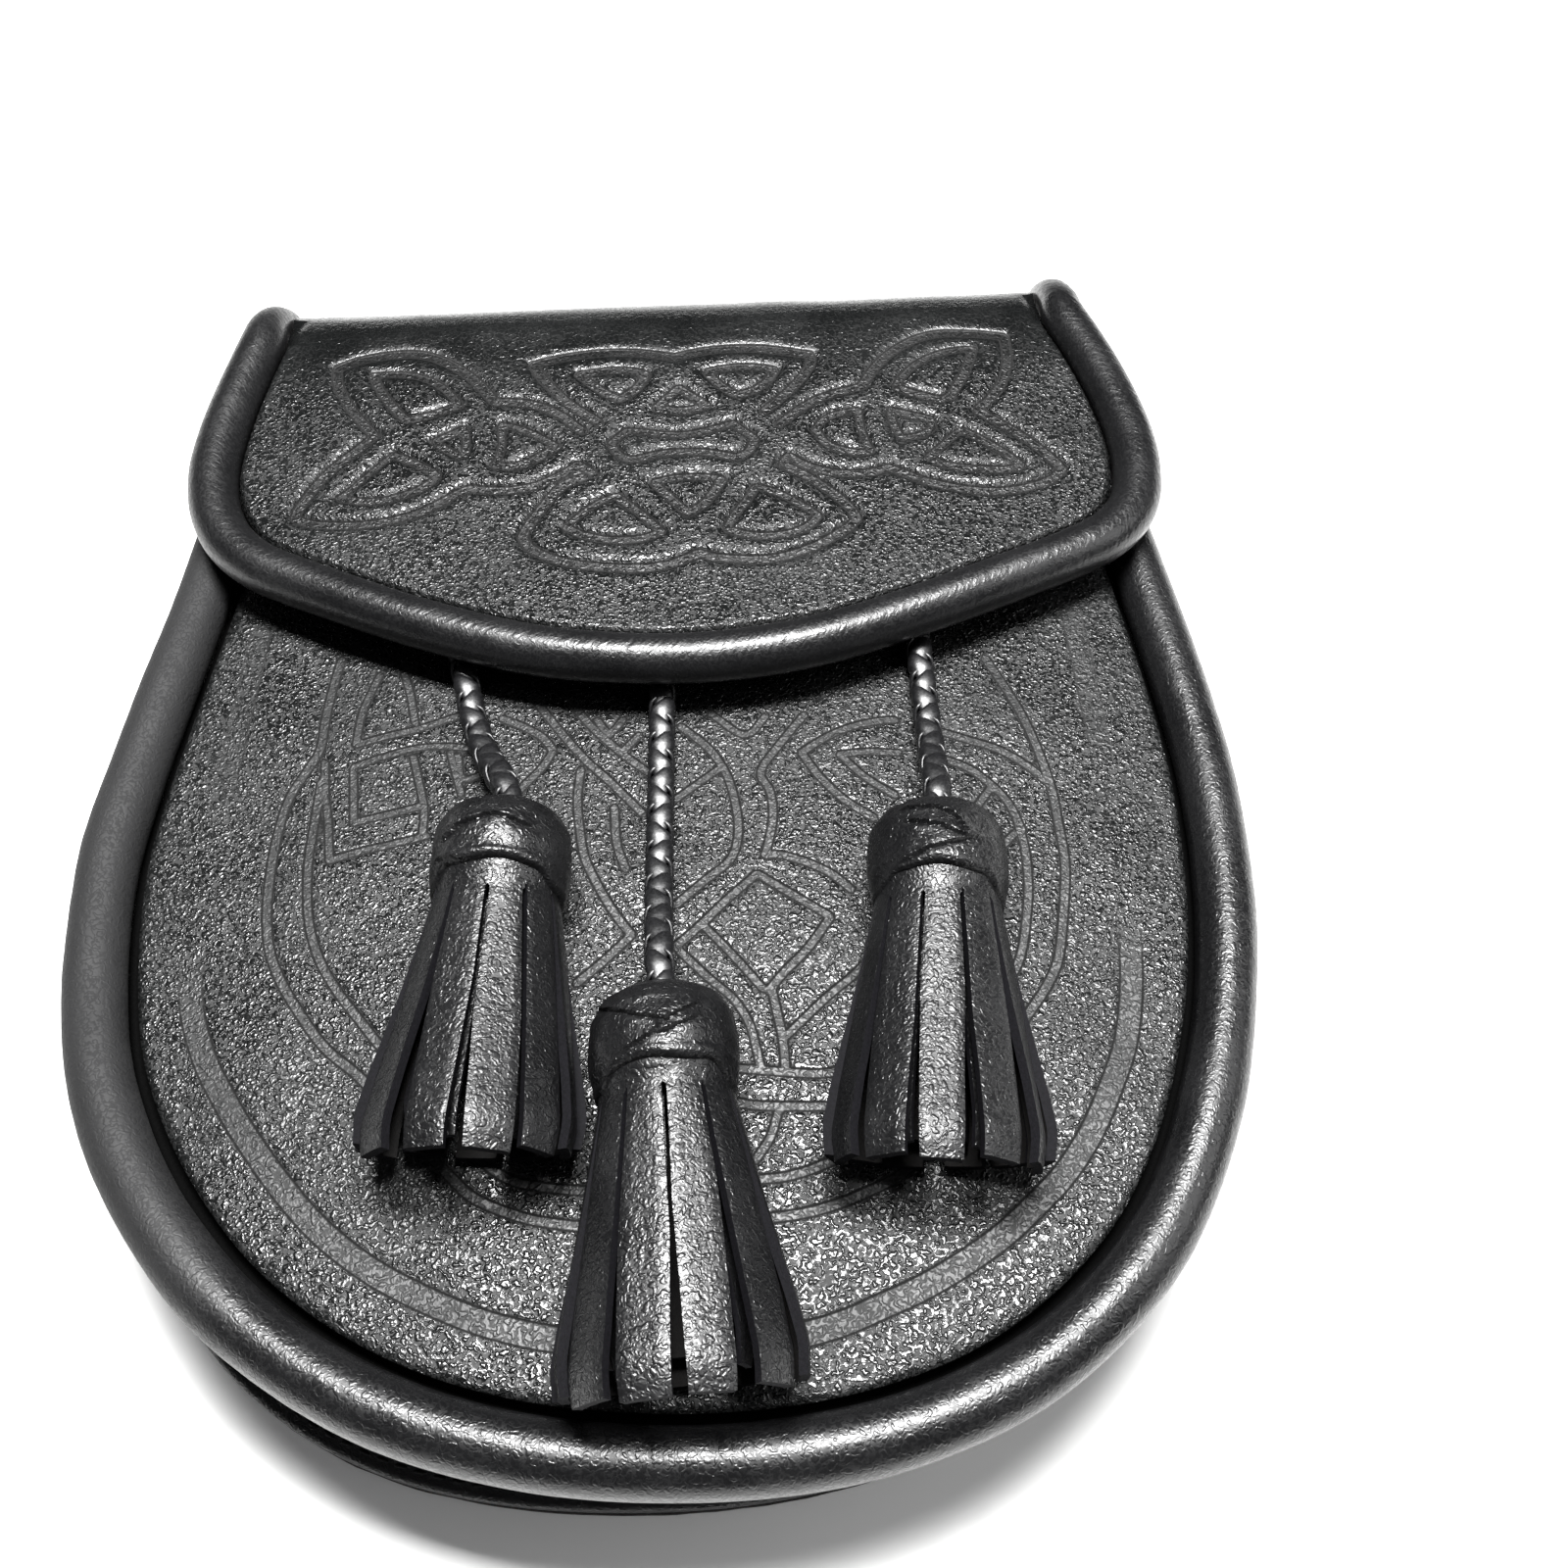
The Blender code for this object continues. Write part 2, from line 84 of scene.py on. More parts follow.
# y, then x of the body roll's centre line on the left and on the right.
BODY_ROWS = (
    (99, -81.5, 84.0), (70, -85.2, 88.4), (44, -88.5, 91.6), (22, -92.1, 94.1), (2, -95.1, 95.7),
    (-12, -96.6, 95.8), (-26, -96.3, 94.9), (-40, -94.6, 92.9), (-54, -91.2, 89.5), (-68, -84.8, 84.5),
    (-81, -75.9, 77.8), (-92, -65.4, 69.4), (-102, -51.2, 57.6), (-109.5, -34.8, 43.6), (-114.2, -15.5, 26.5),
)
BODY_LOWEST = (6.5, -115.9)
SIDE_BOW = 0.4  # of the front's and the back's straight top edges, under the flap
FLAP_ROWS = (
    (100, -81.2, 84.4), (90, -83.3, 87.6), (78, -85.4, 90.6), (66, -86.2, 92.3), (57, -85.0, 92.2),
    (49, -81.6, 90.4), (43, -76.4, 86.4), (38, -68.0, 78.6), (33, -57.6, 67.0), (28, -46.8, 54.5),
    (23.5, -35.5, 42.0), (20, -24.5, 31.0), (17.5, -11.5, 18.5),
)
FLAP_LOWEST = (3.8, 16.4)

# Along the tassel from its crown: half width, half height and the axis over the front.
TASSEL_SECTIONS = (
    (0.0, 4.2, 4.2, 11.7), (0.7, 7.2, 7.0, 11.7), (2.4, 9.8, 9.5, 11.7), (5.0, 11.1, 10.9, 11.7),
    (9.0, 11.4, 11.3, 11.7), (13.0, 11.4, 11.0, 11.5), (15.6, 10.8, 10.2, 11.0), (17.0, 10.3, 9.6, 10.6),
    (24.0, 11.4, 9.8, 10.4), (36.0, 13.4, 10.0, 10.5), (49.0, 15.7, 10.5, 10.9), (60.0, 17.2, 11.0, 11.4),
)
SKIRT_START = 17.0
# Side, crown x and y, turn in degrees, length, half width of the skirt's end.
TASSELS = (
    ("left", -26.2, -15.2, -3.6, 59.0, 17.2),
    ("middle", -1.0, -49.6, 2.4, 59.5, 18.4),
    ("right", 45.4, -19.4, -5.6, 60.0, 17.2),
)
CORD_ROUTES = {
    "left": (
        (-42.0, 44.0, 32.8), (-42.0, 43.9, 36.4), (-41.7, 42.2, 39.6), (-41.0, 38.4, 40.8),
        (-39.9, 33.6, 39.4), (-38.6, 28.6, 37.9), (-36.6, 19.6, 37.9), (-34.4, 9.4, 38.2),
        (-31.8, 1.4, 40.2), (-28.8, -5.4, 44.2), (-26.4, -11.0, 46.7), (-26.2, -14.8, 46.9),
    ),
    "middle": (
        (-0.3, 34.0, 32.8), (-0.3, 33.9, 36.4), (-0.3, 32.2, 39.6), (-0.3, 28.4, 40.8), (-0.4, 23.6, 39.2),
        (-0.5, 18.6, 37.9), (-0.8, 6.0, 37.9), (-1.2, -10.0, 37.9), (-1.5, -22.0, 38.6), (-1.5, -32.4, 41.6),
        (-1.3, -40.6, 45.3), (-1.1, -45.6, 46.7), (-1.0, -49.2, 46.9),
    ),
    "right": (
        (46.9, 45.0, 32.8), (46.9, 44.9, 36.4), (46.9, 43.2, 39.6), (46.9, 39.4, 40.8), (46.9, 34.6, 39.4),
        (46.9, 29.6, 37.9), (46.9, 19.6, 37.9), (46.8, 6.0, 38.2), (46.6, -2.4, 40.4), (46.2, -9.4, 44.2),
        (45.8, -15.2, 46.7), (45.4, -19.0, 46.9),
    ),
}

# The flap's knotwork, charted: half width of a sunk channel, then its centre line.
FLAP_CHANNELS = (
    # left knot, outside
    (1, (-65, 92.2), (-64.4, 87.8), (-62.9, 84.2), (-60.8, 80.2), (-58.2, 76.5), (-56, 73.5)),
    (1.1, (-65, 92.2), (-61, 94.2), (-55, 95.4), (-49.5, 95.5), (-45.3, 94.2), (-41.7, 92),
     (-38.7, 89.4), (-36.2, 86.6), (-34.2, 83.6), (-32.8, 81.4)),
    (1, (-32.8, 81.3), (-29.9, 81.2), (-25.6, 80.4), (-22, 78.8), (-19, 76.7), (-16.9, 74.5), (-15, 72.6)),
    (1, (-56, 73.3), (-59.3, 69.4), (-62.5, 66), (-65.2, 62.3), (-67.3, 58.5), (-68.9, 54.8), (-69.1, 52.6)),
    (0.95, (-69.1, 52.6), (-66, 51.2), (-61, 50.5), (-56, 50.4), (-51, 51.1), (-46, 52.8),
     (-42, 55.2), (-39, 57.3), (-36.7, 58.5)),
    (0.95, (-36.7, 58.5), (-32.8, 57.9), (-29, 57.7), (-24.6, 58.4), (-21.3, 59.9), (-18.2, 61.8), (-15.9, 63.8)),
    (0.9, (-15.9, 63.8), (-14.2, 62.4), (-12.5, 60.8)),
    # left knot, round its raised leaves
    (0.8, (-57.6, 89.8), (-53.5, 90), (-49.8, 89.5), (-46, 88), (-43, 85.5), (-40.8, 82.6), (-39.5, 80.8)),
    (0.9, (-57.6, 89.8), (-56.2, 86.6), (-54.2, 83), (-52, 79.8), (-49.8, 77.2)),
    (0.9, (-49.8, 77.2), (-45.5, 78.4), (-41.5, 80), (-39.5, 80.8)),
    (0.6, (-51.9, 68.3), (-54.5, 65.4), (-57.4, 61.9), (-59.6, 59.3), (-61.6, 57.4)),
    (0.9, (-51.9, 68.2), (-48.5, 66.4), (-46, 64.7), (-44, 63.2), (-42.9, 62)),
    (0.9, (-61.2, 57.4), (-57, 56.4), (-53, 56.4), (-49, 57.6), (-45.5, 59.4), (-42.9, 62)),
    (0.75, (-31.3, 75), (-28, 74.2), (-24.5, 72.2), (-21.5, 70), (-20, 68.8)),
    (0.75, (-31.2, 74.8), (-30.9, 71), (-31, 67.5), (-32, 64.4)),
    (1, (-32, 64.4), (-29, 63.7), (-25.5, 64.8), (-22.5, 66.8), (-20.2, 68.8)),
    (0.9, (-44, 71.3), (-41, 73), (-38.4, 74.4)),
    (0.8, (-38.4, 74.4), (-37.9, 71.5), (-37.8, 67.6)),
    (0.8, (-44, 71.2), (-41.5, 68.9), (-39.2, 67.3), (-37.8, 67.4)),
    # middle knot, outside
    (1.05, (-25.2, 91.3), (-24.2, 88.6), (-22, 85.2), (-19.2, 81.5), (-16.3, 78.6), (-13.5, 76.3), (-12, 75)),
    (1.1, (-25.2, 91.3), (-21.5, 92.4), (-17, 93.3), (-11, 94), (-5, 93.7), (-1, 92.9), (3.1, 91.8)),
    (1.1, (3.1, 91.8), (7, 92.8), (11, 93.5), (16, 93.8), (21, 93.6), (26, 92.6), (31, 91.3)),
    (1, (31, 91.3), (30.8, 88.7), (28.9, 85.2), (26.2, 81.7), (23.2, 78.4), (20.8, 76.2)),
    (1, (-14.6, 60.4), (-18, 59), (-20.3, 56.6), (-23, 52.2), (-25, 48.7), (-26.1, 46)),
    (1, (-26.1, 46), (-25, 43.8), (-22.2, 41.3), (-17.5, 39.1), (-11, 37.7), (-4.7, 37.2), (0.6, 37.6),
     (4.5, 39), (7, 40.2)),
    (1, (7, 40.2), (10.7, 38.9), (18.4, 38.1), (24.3, 39), (30, 41.4), (34.7, 44.6), (37.2, 47.1)),
    (1, (37.2, 47.1), (35.9, 50.1), (33, 53.9), (29, 57.9), (25.8, 60.4), (23.6, 61.9)),
    # middle knot, round its raised leaves
    (0.95, (-16, 87.9), (-12.5, 88.4), (-9, 88.8), (-5, 88.3), (-2.5, 87.3)),
    (0.95, (-16, 87.8), (-13.4, 85), (-10.8, 82.7), (-8.2, 80.9)),
    (1, (-2.5, 87.3), (-4, 84.2), (-6.4, 81.8), (-8.2, 80.9)),
    (0.9, (9.8, 87.4), (13, 88.2), (17, 88.6), (21, 88.2), (23.6, 87.4)),
    (0.95, (9.8, 87.3), (11.8, 84.3), (13.9, 82.2), (15.7, 80.8)),
    (0.95, (23.6, 87.4), (21.8, 84.3), (19, 82), (15.7, 80.8)),
    (0.9, (4, 83.3), (1.7, 80.9), (-0.6, 78.3)),
    (0.9, (4, 83.3), (6.8, 80.8), (9.6, 78.3)),
    (1, (-0.6, 78.2), (4.5, 77.2), (9.6, 78.2)),
    (0.8, (-6.5, 72.4), (-3, 71.9), (1, 71), (5.3, 70.8), (9.5, 71.7), (14.5, 73.2)),
    (0.8, (-9.5, 69.1), (-8, 70.8), (-6.5, 72.4)),
    (0.8, (14.5, 73.2), (16.6, 71), (18.6, 69)),
    (0.9, (-9.5, 69), (-8.6, 66.8), (-6.9, 64.9), (-4.9, 64.4), (0, 65.7), (4.7, 66), (9.5, 65.6),
     (13, 64.6), (15.2, 64.1), (17.6, 65.9), (18.6, 68.9)),
    (0.8, (-1.2, 58.2), (2, 59.1), (5.5, 59.4), (9.5, 59.2), (12, 58.6)),
    (0.9, (-1.2, 58), (1.4, 54.9), (3.2, 52.6), (5.2, 50.2)),
    (0.95, (12, 58.5), (10.2, 55.4), (8.3, 52.5), (5.3, 50.2)),
    (0.65, (-8.5, 55.3), (-11.8, 53.8), (-15, 51.2), (-17.9, 48.2)),
    (0.85, (-8.4, 55.2), (-5, 51.8), (-2.2, 48.6), (0.1, 45.8)),
    (0.9, (-17.9, 48), (-15, 46), (-11, 44.6), (-6.6, 44.1), (-3, 44.5), (0.1, 45.8)),
    (0.85, (18.3, 56.3), (16.6, 53.2), (14.2, 49.6), (12.4, 46)),
    (0.75, (18.4, 56.4), (22, 54.8), (25.4, 52.3), (28.4, 49.7), (29.9, 48.3)),
    (0.9, (12.4, 46), (15.5, 44.4), (20, 43.7), (24.5, 44.2), (28, 45.9), (29.9, 48.2)),
    # right knot, outside
    (0.95, (23.6, 72.4), (25.2, 73.9), (27.8, 76.2), (31, 78.5), (34.5, 80), (38, 81), (40.7, 81.8)),
    (1.05, (40.7, 81.8), (43.3, 86.2), (46, 89.7), (49.3, 92.6), (53.5, 95), (58, 96), (63, 95.8),
     (67.5, 95.2), (71, 94.4)),
    (1, (71, 94.4), (71, 90), (70.4, 85.6), (68.7, 81), (66.1, 77.2), (63.3, 74.6)),
    (1, (63.2, 74.4), (66, 71.7), (70, 67.9), (73.5, 63.9), (76.3, 60.2), (77.8, 57.5)),
    (0.95, (77.8, 57.5), (75.3, 55.2), (70.3, 53.4), (65.1, 52.7), (60, 53.1), (55.1, 54.4), (50.5, 56.2),
     (46.4, 58.6), (44.2, 59.9)),
    (0.95, (44.2, 59.9), (41, 58.9), (36, 58.8), (31.7, 59.8), (28, 61.5), (25, 63.9)),
    (0.9, (25, 63.9), (23.6, 61.9)),
    # right knot, round its raised leaves
    (0.8, (47.6, 81.6), (49.2, 84.3), (51.3, 86.7), (54, 88.8), (57.5, 90.4), (61.5, 91.2), (64.2, 91.2)),
    (0.95, (47.6, 81.4), (50.5, 79.8), (53.5, 78.6), (56, 77.7), (58.3, 78.4)),
    (0.95, (58.3, 78.4), (60, 81.3), (61.8, 84.5), (63.2, 88), (64.2, 91.2)),
    (0.8, (30.9, 71), (32.4, 73), (35, 74.5), (39.5, 75.4)),
    (0.75, (39.5, 75.4), (39.7, 71), (40.3, 67.5), (41.2, 64.6)),
    (0.9, (30.6, 70.6), (32.8, 66.7), (36, 64.9), (39, 64.1), (41.2, 64.6)),
    (0.9, (45.8, 75.1), (49.5, 73.9), (53.6, 72.4)),
    (0.8, (45.8, 75), (46.3, 71), (47.4, 67.7)),
    (0.8, (53.6, 72.4), (53.9, 70), (51, 68.1), (47.5, 67.6)),
    (0.8, (59.2, 69.1), (56.8, 66.6), (54.4, 64.2), (52.3, 62.3)),
    (0.9, (59.3, 69.2), (62.3, 67), (65.2, 64.3), (68, 61.4), (70, 59)),
    (0.9, (52.3, 62.2), (55, 60), (59.5, 58.7), (64, 58.2), (67.5, 58.1), (70, 58.9)),
)

# The front panel's shallower stamp, charted the same way.
FRONT_CHANNELS = (
    (1.9, (-76.2, 34), (-77.6, 12), (-79, -10), (-79.3, -28), (-78.7, -40.3), (-75.2, -50.8),
     (-70.3, -59.4), (-65.3, -66.7), (-60.2, -73.2), (-55, -79), (-50, -83.4), (-45, -87), (-40, -89.9),
     (-35, -92.4), (-30, -94.6), (-25, -96.3), (-18.7, -97.9), (-10, -99.2), (0, -99.9),
     (10, -99.9), (18.5, -99.3), (25, -97.8), (30, -96), (35, -94.2), (40, -91.9), (45, -89.2),
     (50, -86), (55, -82), (60, -77.5), (65, -71.3), (69.3, -64), (73.3, -55.5),
     (76, -44), (77.3, -30), (77.8, -10), (77.6, 12), (77, 34)),
    (0.85, (-60.5, 27), (-61.3, 22), (-62, 14.5), (-62.3, 7), (-64, 3), (-66.8, -3),
     (-68, -10.5), (-68.3, -18), (-68, -25.5), (-66.8, -32.5), (-64.5, -38), (-61.5, -43),
     (-56, -50.5), (-49.3, -56.5), (-41, -66), (-33, -74.5), (-30, -77), (-25, -79.3),
     (-20, -80.8), (-10, -82.3), (0, -82.8), (8, -82.6), (15, -82), (20, -81.5), (25, -80.3),
     (30, -78.5), (36, -75.5), (44, -68), (51, -59.5), (56.3, -52.8), (59, -49.5), (62, -45.5),
     (64.5, -40.5), (66.8, -30.5), (68, -23), (68, -15.5), (67.8, -8), (66.5, 0), (64.5, 8),
     (62, 15), (59.5, 21)),
    (0.8, (-61.5, 0), (-61.8, -8), (-62, -15.5), (-61.5, -23), (-60.3, -29.5), (-58, -35.5),
     (-55, -40.5), (-52, -44.5), (-42, -57), (-32, -68.5), (-26, -73.6), (-21, -75.2),
     (-16, -76), (-8, -76.8), (2, -76.8), (13.3, -76), (17, -75.8), (22, -74.5), (31, -70.5),
     (42, -61), (51, -50.5), (56, -44), (58, -40.5), (59.5, -35.5), (61, -28), (61.5, -20.5),
     (61, -15)),
    (0.75, (-61.2, 4), (-60.5, -3), (-59.5, -8), (-58.4, -16.3)),
    (0.75, (-58.4, -16.3), (-52.5, -14.5), (-47.5, -13.3), (-42, -12)),
    (0.75, (-53, 23), (-54, 20), (-55.5, 14.5), (-56, 7.5)),
    (0.75, (-56, 7.5), (-50, 9.3), (-45, 10.5), (-38.5, 12.8), (-36.5, 13.3)),
    (0.75, (-48.5, 23), (-47, 18), (-45.8, 12)),
    (0.7, (-56, 2.8), (-50, 5), (-45, 6.3), (-40, 6.5), (-33.5, 5.5)),
    (0.75, (-56, 2.5), (-55, -8.8)),
    (0.75, (-55, -8.8), (-42.8, -5.8)),
    (0.75, (-42.8, -11.8), (-43, -6), (-45.5, 4.3)),
    (0.7, (-39, 5), (-36.5, -4)),
    (0.7, (-37.5, 4), (-36.5, -0.8), (-33.3, 0)),
    (0.8, (-30, 12), (-26, 10), (-22.5, 7.5), (-20.5, 4.5)),
    (0.8, (-20.5, 4.5), (-22.5, 1), (-25.5, -2.5), (-27, -4.5)),
    (0.8, (-24.5, 16.5), (-20, 9.5), (-15, 2.5), (-10, -3), (-4.5, -9.5)),
    (0.8, (-17.5, 15), (-13.5, 9), (-8, 3), (-3.5, -1)),
    (0.75, (-12.5, 10.5), (-10.5, 7.5), (-8, 10.5)),
    (0.75, (-8, 3.5), (-5, 7)),
    (0.8, (-15.5, 0), (-16, -6), (-15.5, -12), (-14.5, -18), (-12, -24), (-9, -29.5), (-6.5, -33)),
    (0.8, (-6.5, -33), (-11, -37.5), (-15.5, -41.5)),
    (0.8, (-9.5, -8), (-9, -15.5), (-7.5, -20.5)),
    (0.8, (2.5, 8.5), (7, 4), (9.5, 0), (11, -4), (12, -10), (12, -15), (10.5, -19.5),
     (6, -23.5), (1, -28)),
    (0.75, (1, -7), (5, -4), (9, -1)),
    (0.75, (8, 11), (14, 6), (18, 10)),
    (0.8, (25, 10), (20, 3.5), (16.5, -2), (18, -6), (18.3, -11), (17.5, -15.5), (16.5, -19)),
    (0.8, (16.5, -19), (19, -19), (24, -21), (28, -23.5), (31, -26.5)),
    (0.8, (15, -22.5), (10, -27), (5, -32), (1, -35.5)),
    (0.8, (15, -22.5), (21, -27), (27, -31.5)),
    (0.8, (27, -31.5), (23, -37), (18.5, -41.5), (16, -44.5)),
    (0.75, (6, -32.5), (10.5, -38), (15, -44)),
    (0.75, (1.5, -36.5), (6, -41.5), (10, -45.5), (12.5, -50), (13.5, -54.5), (14, -57.5)),
    (0.8, (24, 1.8), (29, 5), (34, 7), (39, 8), (41.5, 8)),
    (0.8, (24, 1.8), (27, -3.5), (31, -8.5), (36, -12.5)),
    (0.75, (30.8, 1), (36, 1.3), (41.5, 0.8)),
    (0.75, (30.8, 1), (35, -4), (40, -8)),
    (0.8, (48.5, 5.5), (54, 3), (59.5, 0.5), (64, -3), (67.5, -7)),
    (0.8, (48.5, -0.5), (53.5, -3), (57.5, -7), (60, -11), (61.5, -16.5)),
    (0.75, (57, -7.5), (53.5, -12)),
    (0.75, (60, -17), (57, -20)),
    (0.8, (16.5, -44.5), (17, -47.5), (17.8, -53), (18, -58)),
    (0.75, (18.5, -52.5), (25, -46.5), (30, -42.5), (33, -39.5)),
    (0.8, (9, -57.6), (13, -58.1), (18, -58.8), (23, -59.3), (28, -58.9)),
    (0.8, (8.5, -63), (12.5, -64), (17.5, -64.5), (24, -64.8)),
    (0.75, (16.5, -65.3), (15, -69.5), (12.5, -73)),
)


# ---------------------------------------------------------------- lines and meshes


def reach_along(line):
    """How far along the line each of its points lies."""
    return np.concatenate([[0.0], np.cumsum(np.linalg.norm(np.diff(line, axis=0), axis=1))])


def even(line, spacing):
    """The line cut into equal steps of about that length."""
    reach = reach_along(line)
    at = np.linspace(0.0, reach[-1], max(2, round(reach[-1] / spacing)) + 1)
    return np.stack([np.interp(at, reach, column) for column in line.T], 1)


def smooth_line(points, spacing):
    """Evenly spaced points on a Catmull-Rom curve through the given ones."""
    p = np.array(points, float)
    p = np.vstack([2 * p[0] - p[1], p, 2 * p[-1] - p[-2]])
    t = np.linspace(0.0, 1.0, 13)[1:, None]
    dense = [p[1:2]]
    for a, b, c, d in zip(p, p[1:], p[2:], p[3:]):
        dense.append(0.5 * (2 * b + (c - a) * t + (2 * a - 5 * b + 4 * c - d) * t**2 + (3 * b - a - 3 * c + d) * t**3))
    return even(np.vstack(dense), spacing)


def roll_route(rows, lowest, spacing):
    """A roll's centre line, from its left end round the bottom to its right end."""
    left = [(row[1], row[0]) for row in rows]
    right = [(row[2], row[0]) for row in reversed(rows)]
    return smooth_line([*left, lowest, *right], spacing)


def moved_out(line, outwards):
    """A flat line moved square to itself, away from the pouch's middle."""
    along = np.gradient(line, axis=0)
    side = np.stack([along[:, 1], -along[:, 0]], 1)
    return line + outwards * side / np.linalg.norm(side, axis=1)[:, None]


def turns(count):
    """That many even angles round a full turn."""
    return np.linspace(0, 2 * math.pi, count, endpoint=False)


def back_z(y):
    """Height of the back panel's lower face at y."""
    return (y - BACK_LOWEST_Y) * BACK_TILT


def lumps(points, size, seed):
    """Smooth unevenness between -1 and 1 at each point, from waves in fixed directions."""
    rng = np.random.default_rng(seed)
    waves, greatest = 7, 3.2
    total = np.zeros(len(points))
    for _ in range(waves):
        way = rng.normal(size=points.shape[1])
        way *= 2 * math.pi / (size * rng.uniform(0.7, 1.6) * np.linalg.norm(way))
        total += np.sin(points @ way + rng.uniform(0, 2 * math.pi))
    return total / greatest


def eased(value, low, high):
    """0 below low, 1 above high and a smooth step between."""
    t = np.clip((value - low) / (high - low), 0.0, 1.0)
    return t * t * (3 - 2 * t)


def make_piece(name, corners, faces, materials, attributes=None, material_index=None):
    """A mesh object from corners in the drawing's millimetres, placed in the frame."""
    mesh = bpy.data.meshes.new(name)
    at = (np.asarray(corners, float) + PLACE) * MM
    mesh.from_pydata(at.tolist(), [], faces)
    for label, values in (attributes or {}).items():
        values = np.asarray(values, np.float32)
        kind, field = ("FLOAT", "value") if values.ndim == 1 else ("FLOAT_VECTOR", "vector")
        mesh.attributes.new(label, kind, "POINT").data.foreach_set(field, values.ravel())
    for material in materials:
        mesh.materials.append(material)
    if material_index is not None:
        mesh.polygons.foreach_set("material_index", np.asarray(material_index, np.int32))
    mesh.polygons.foreach_set("use_smooth", np.full(len(mesh.polygons), True))
    mesh.validate()
    obj = bpy.data.objects.new(name, mesh)
    bpy.context.scene.collection.objects.link(obj)
    return obj


def ring_faces(rings, sides, closed_along=False):
    """Quads between rings of corners, with the first and last ring capped unless the loft is closed."""
    i = np.arange(rings if closed_along else rings - 1)[:, None]
    j = np.arange(sides)[None, :]
    a, b = i * sides + j, i * sides + (j + 1) % sides
    up = ((i + 1) % rings) * sides
    faces = np.stack(np.broadcast_arrays(a, b, up + (j + 1) % sides, up + j), -1).reshape(-1, 4).tolist()
    if not closed_along:
        faces.append(list(range(sides))[::-1])
        faces.append(list(range((rings - 1) * sides, rings * sides)))
    return faces


def frames_along(line, side):
    """The direction, a side vector kept from turning, and the third axis at each point of a line."""
    along = np.gradient(line, axis=0)
    along /= np.linalg.norm(along, axis=1)[:, None]
    sides = []
    side = np.array(side, float)
    for way in along:
        side = side - way * (side @ way)
        side /= np.linalg.norm(side)
        sides.append(side)
    sides = np.array(sides)
    return along, sides, np.cross(along, sides)


def tube_rings(line, radius):
    """Rings of corners round a line, with the straightened place of each corner. The radius is given for each."""
    _, across, third = frames_along(line, (-1, 0, 0))
    turn = turns(radius.shape[1])
    x, y = radius * np.cos(turn), radius * np.sin(turn)
    corners = line[:, None] + x[..., None] * across[:, None] + y[..., None] * third[:, None]
    reach = reach_along(line)
    straight = np.stack([x, y, np.broadcast_to(reach[:, None], x.shape)], -1)
    return corners.reshape(-1, 3), straight.reshape(-1, 3) * MM


def channel_distance(points, channels):
    """Distance in mm from each flat point to the nearest channel's side: below 0 inside a channel."""
    starts, ends, halves = [], [], []
    for half, *chart in channels:
        line = smooth_line(chart, 1.2)
        starts.append(line[:-1])
        ends.append(line[1:])
        halves.append(np.full(len(line) - 1, half))
    a, b, half = np.vstack(starts), np.vstack(ends), np.concatenate(halves)
    way = b - a
    square = (way**2).sum(1)
    found = np.empty(len(points))
    for first in range(0, len(points), 2000):
        p = points[first : first + 2000, None]
        share = np.clip(((p - a) * way).sum(2) / square, 0.0, 1.0)
        off = p - a - share[..., None] * way
        found[first : first + 2000] = (np.sqrt((off**2).sum(2)) - half).min(1)
    return found


def channel_marks(channels, offsets, spacing):
    """Points along both sides of each channel, at the given distances from its side, and along its middle."""
    marks, middles = [], []
    for half, *chart in channels:
        line = smooth_line(chart, spacing)
        middles.append(line)
        for out in offsets:
            marks += [moved_out(line, half + out), moved_out(line, -half - out)]
    marks = np.vstack(marks)
    # Marks that came to lie in or near a crossing channel are left out.
    off = np.abs(channel_distance(marks, channels)[:, None] - np.array(offsets)).min(1)
    return np.vstack([*middles, marks[off < 0.06]])


def inside(points, loop):
    """Whether each flat point lies inside the closed loop."""
    a, b = loop, np.roll(loop, -1, axis=0)
    found = np.zeros(len(points), bool)
    for (ax, ay), (bx, by) in zip(a, b):
        if ay != by:
            spans = (ay > points[:, 1]) != (by > points[:, 1])
            found ^= spans & (points[:, 0] < (bx - ax) * (points[:, 1] - ay) / (by - ay) + ax)
    return found


def loop_distance(points, loop, reach=False):
    """Distance from each flat point to the closed loop, and on request how far along the loop that is."""
    a, b = loop, np.roll(loop, -1, axis=0)
    way = b - a
    square = np.maximum((way**2).sum(1), 1e-12)
    starts = np.concatenate([[0.0], np.cumsum(np.sqrt(square))[:-1]])
    found, along = np.empty(len(points)), np.empty(len(points))
    for first in range(0, len(points), 2000):
        p = points[first : first + 2000, None]
        share = np.clip(((p - a) * way).sum(2) / square, 0.0, 1.0)
        off = np.sqrt(((p - a - share[..., None] * way) ** 2).sum(2))
        nearest = off.argmin(1)
        row = np.arange(len(nearest))
        found[first : first + 2000] = off[row, nearest]
        along[first : first + 2000] = starts[nearest] + share[row, nearest] * np.sqrt(square[nearest])
    return (found, along) if reach else found


def thinned(points, size):
    """One point for each cell of that size."""
    _, first = np.unique(np.floor(points / size).astype(int), axis=0, return_index=True)
    return points[np.sort(first)]


def grid_points(loop, spacing):
    """Points of a staggered grid inside the loop's box."""
    low, high = loop.min(0), loop.max(0)
    rows = np.arange(low[1], high[1], spacing * 0.87)
    x = np.arange(low[0], high[0], spacing)
    grid = [np.stack([x + spacing / 2 * (k % 2), np.full(len(x), y)], 1) for k, y in enumerate(rows)]
    return np.vstack(grid)


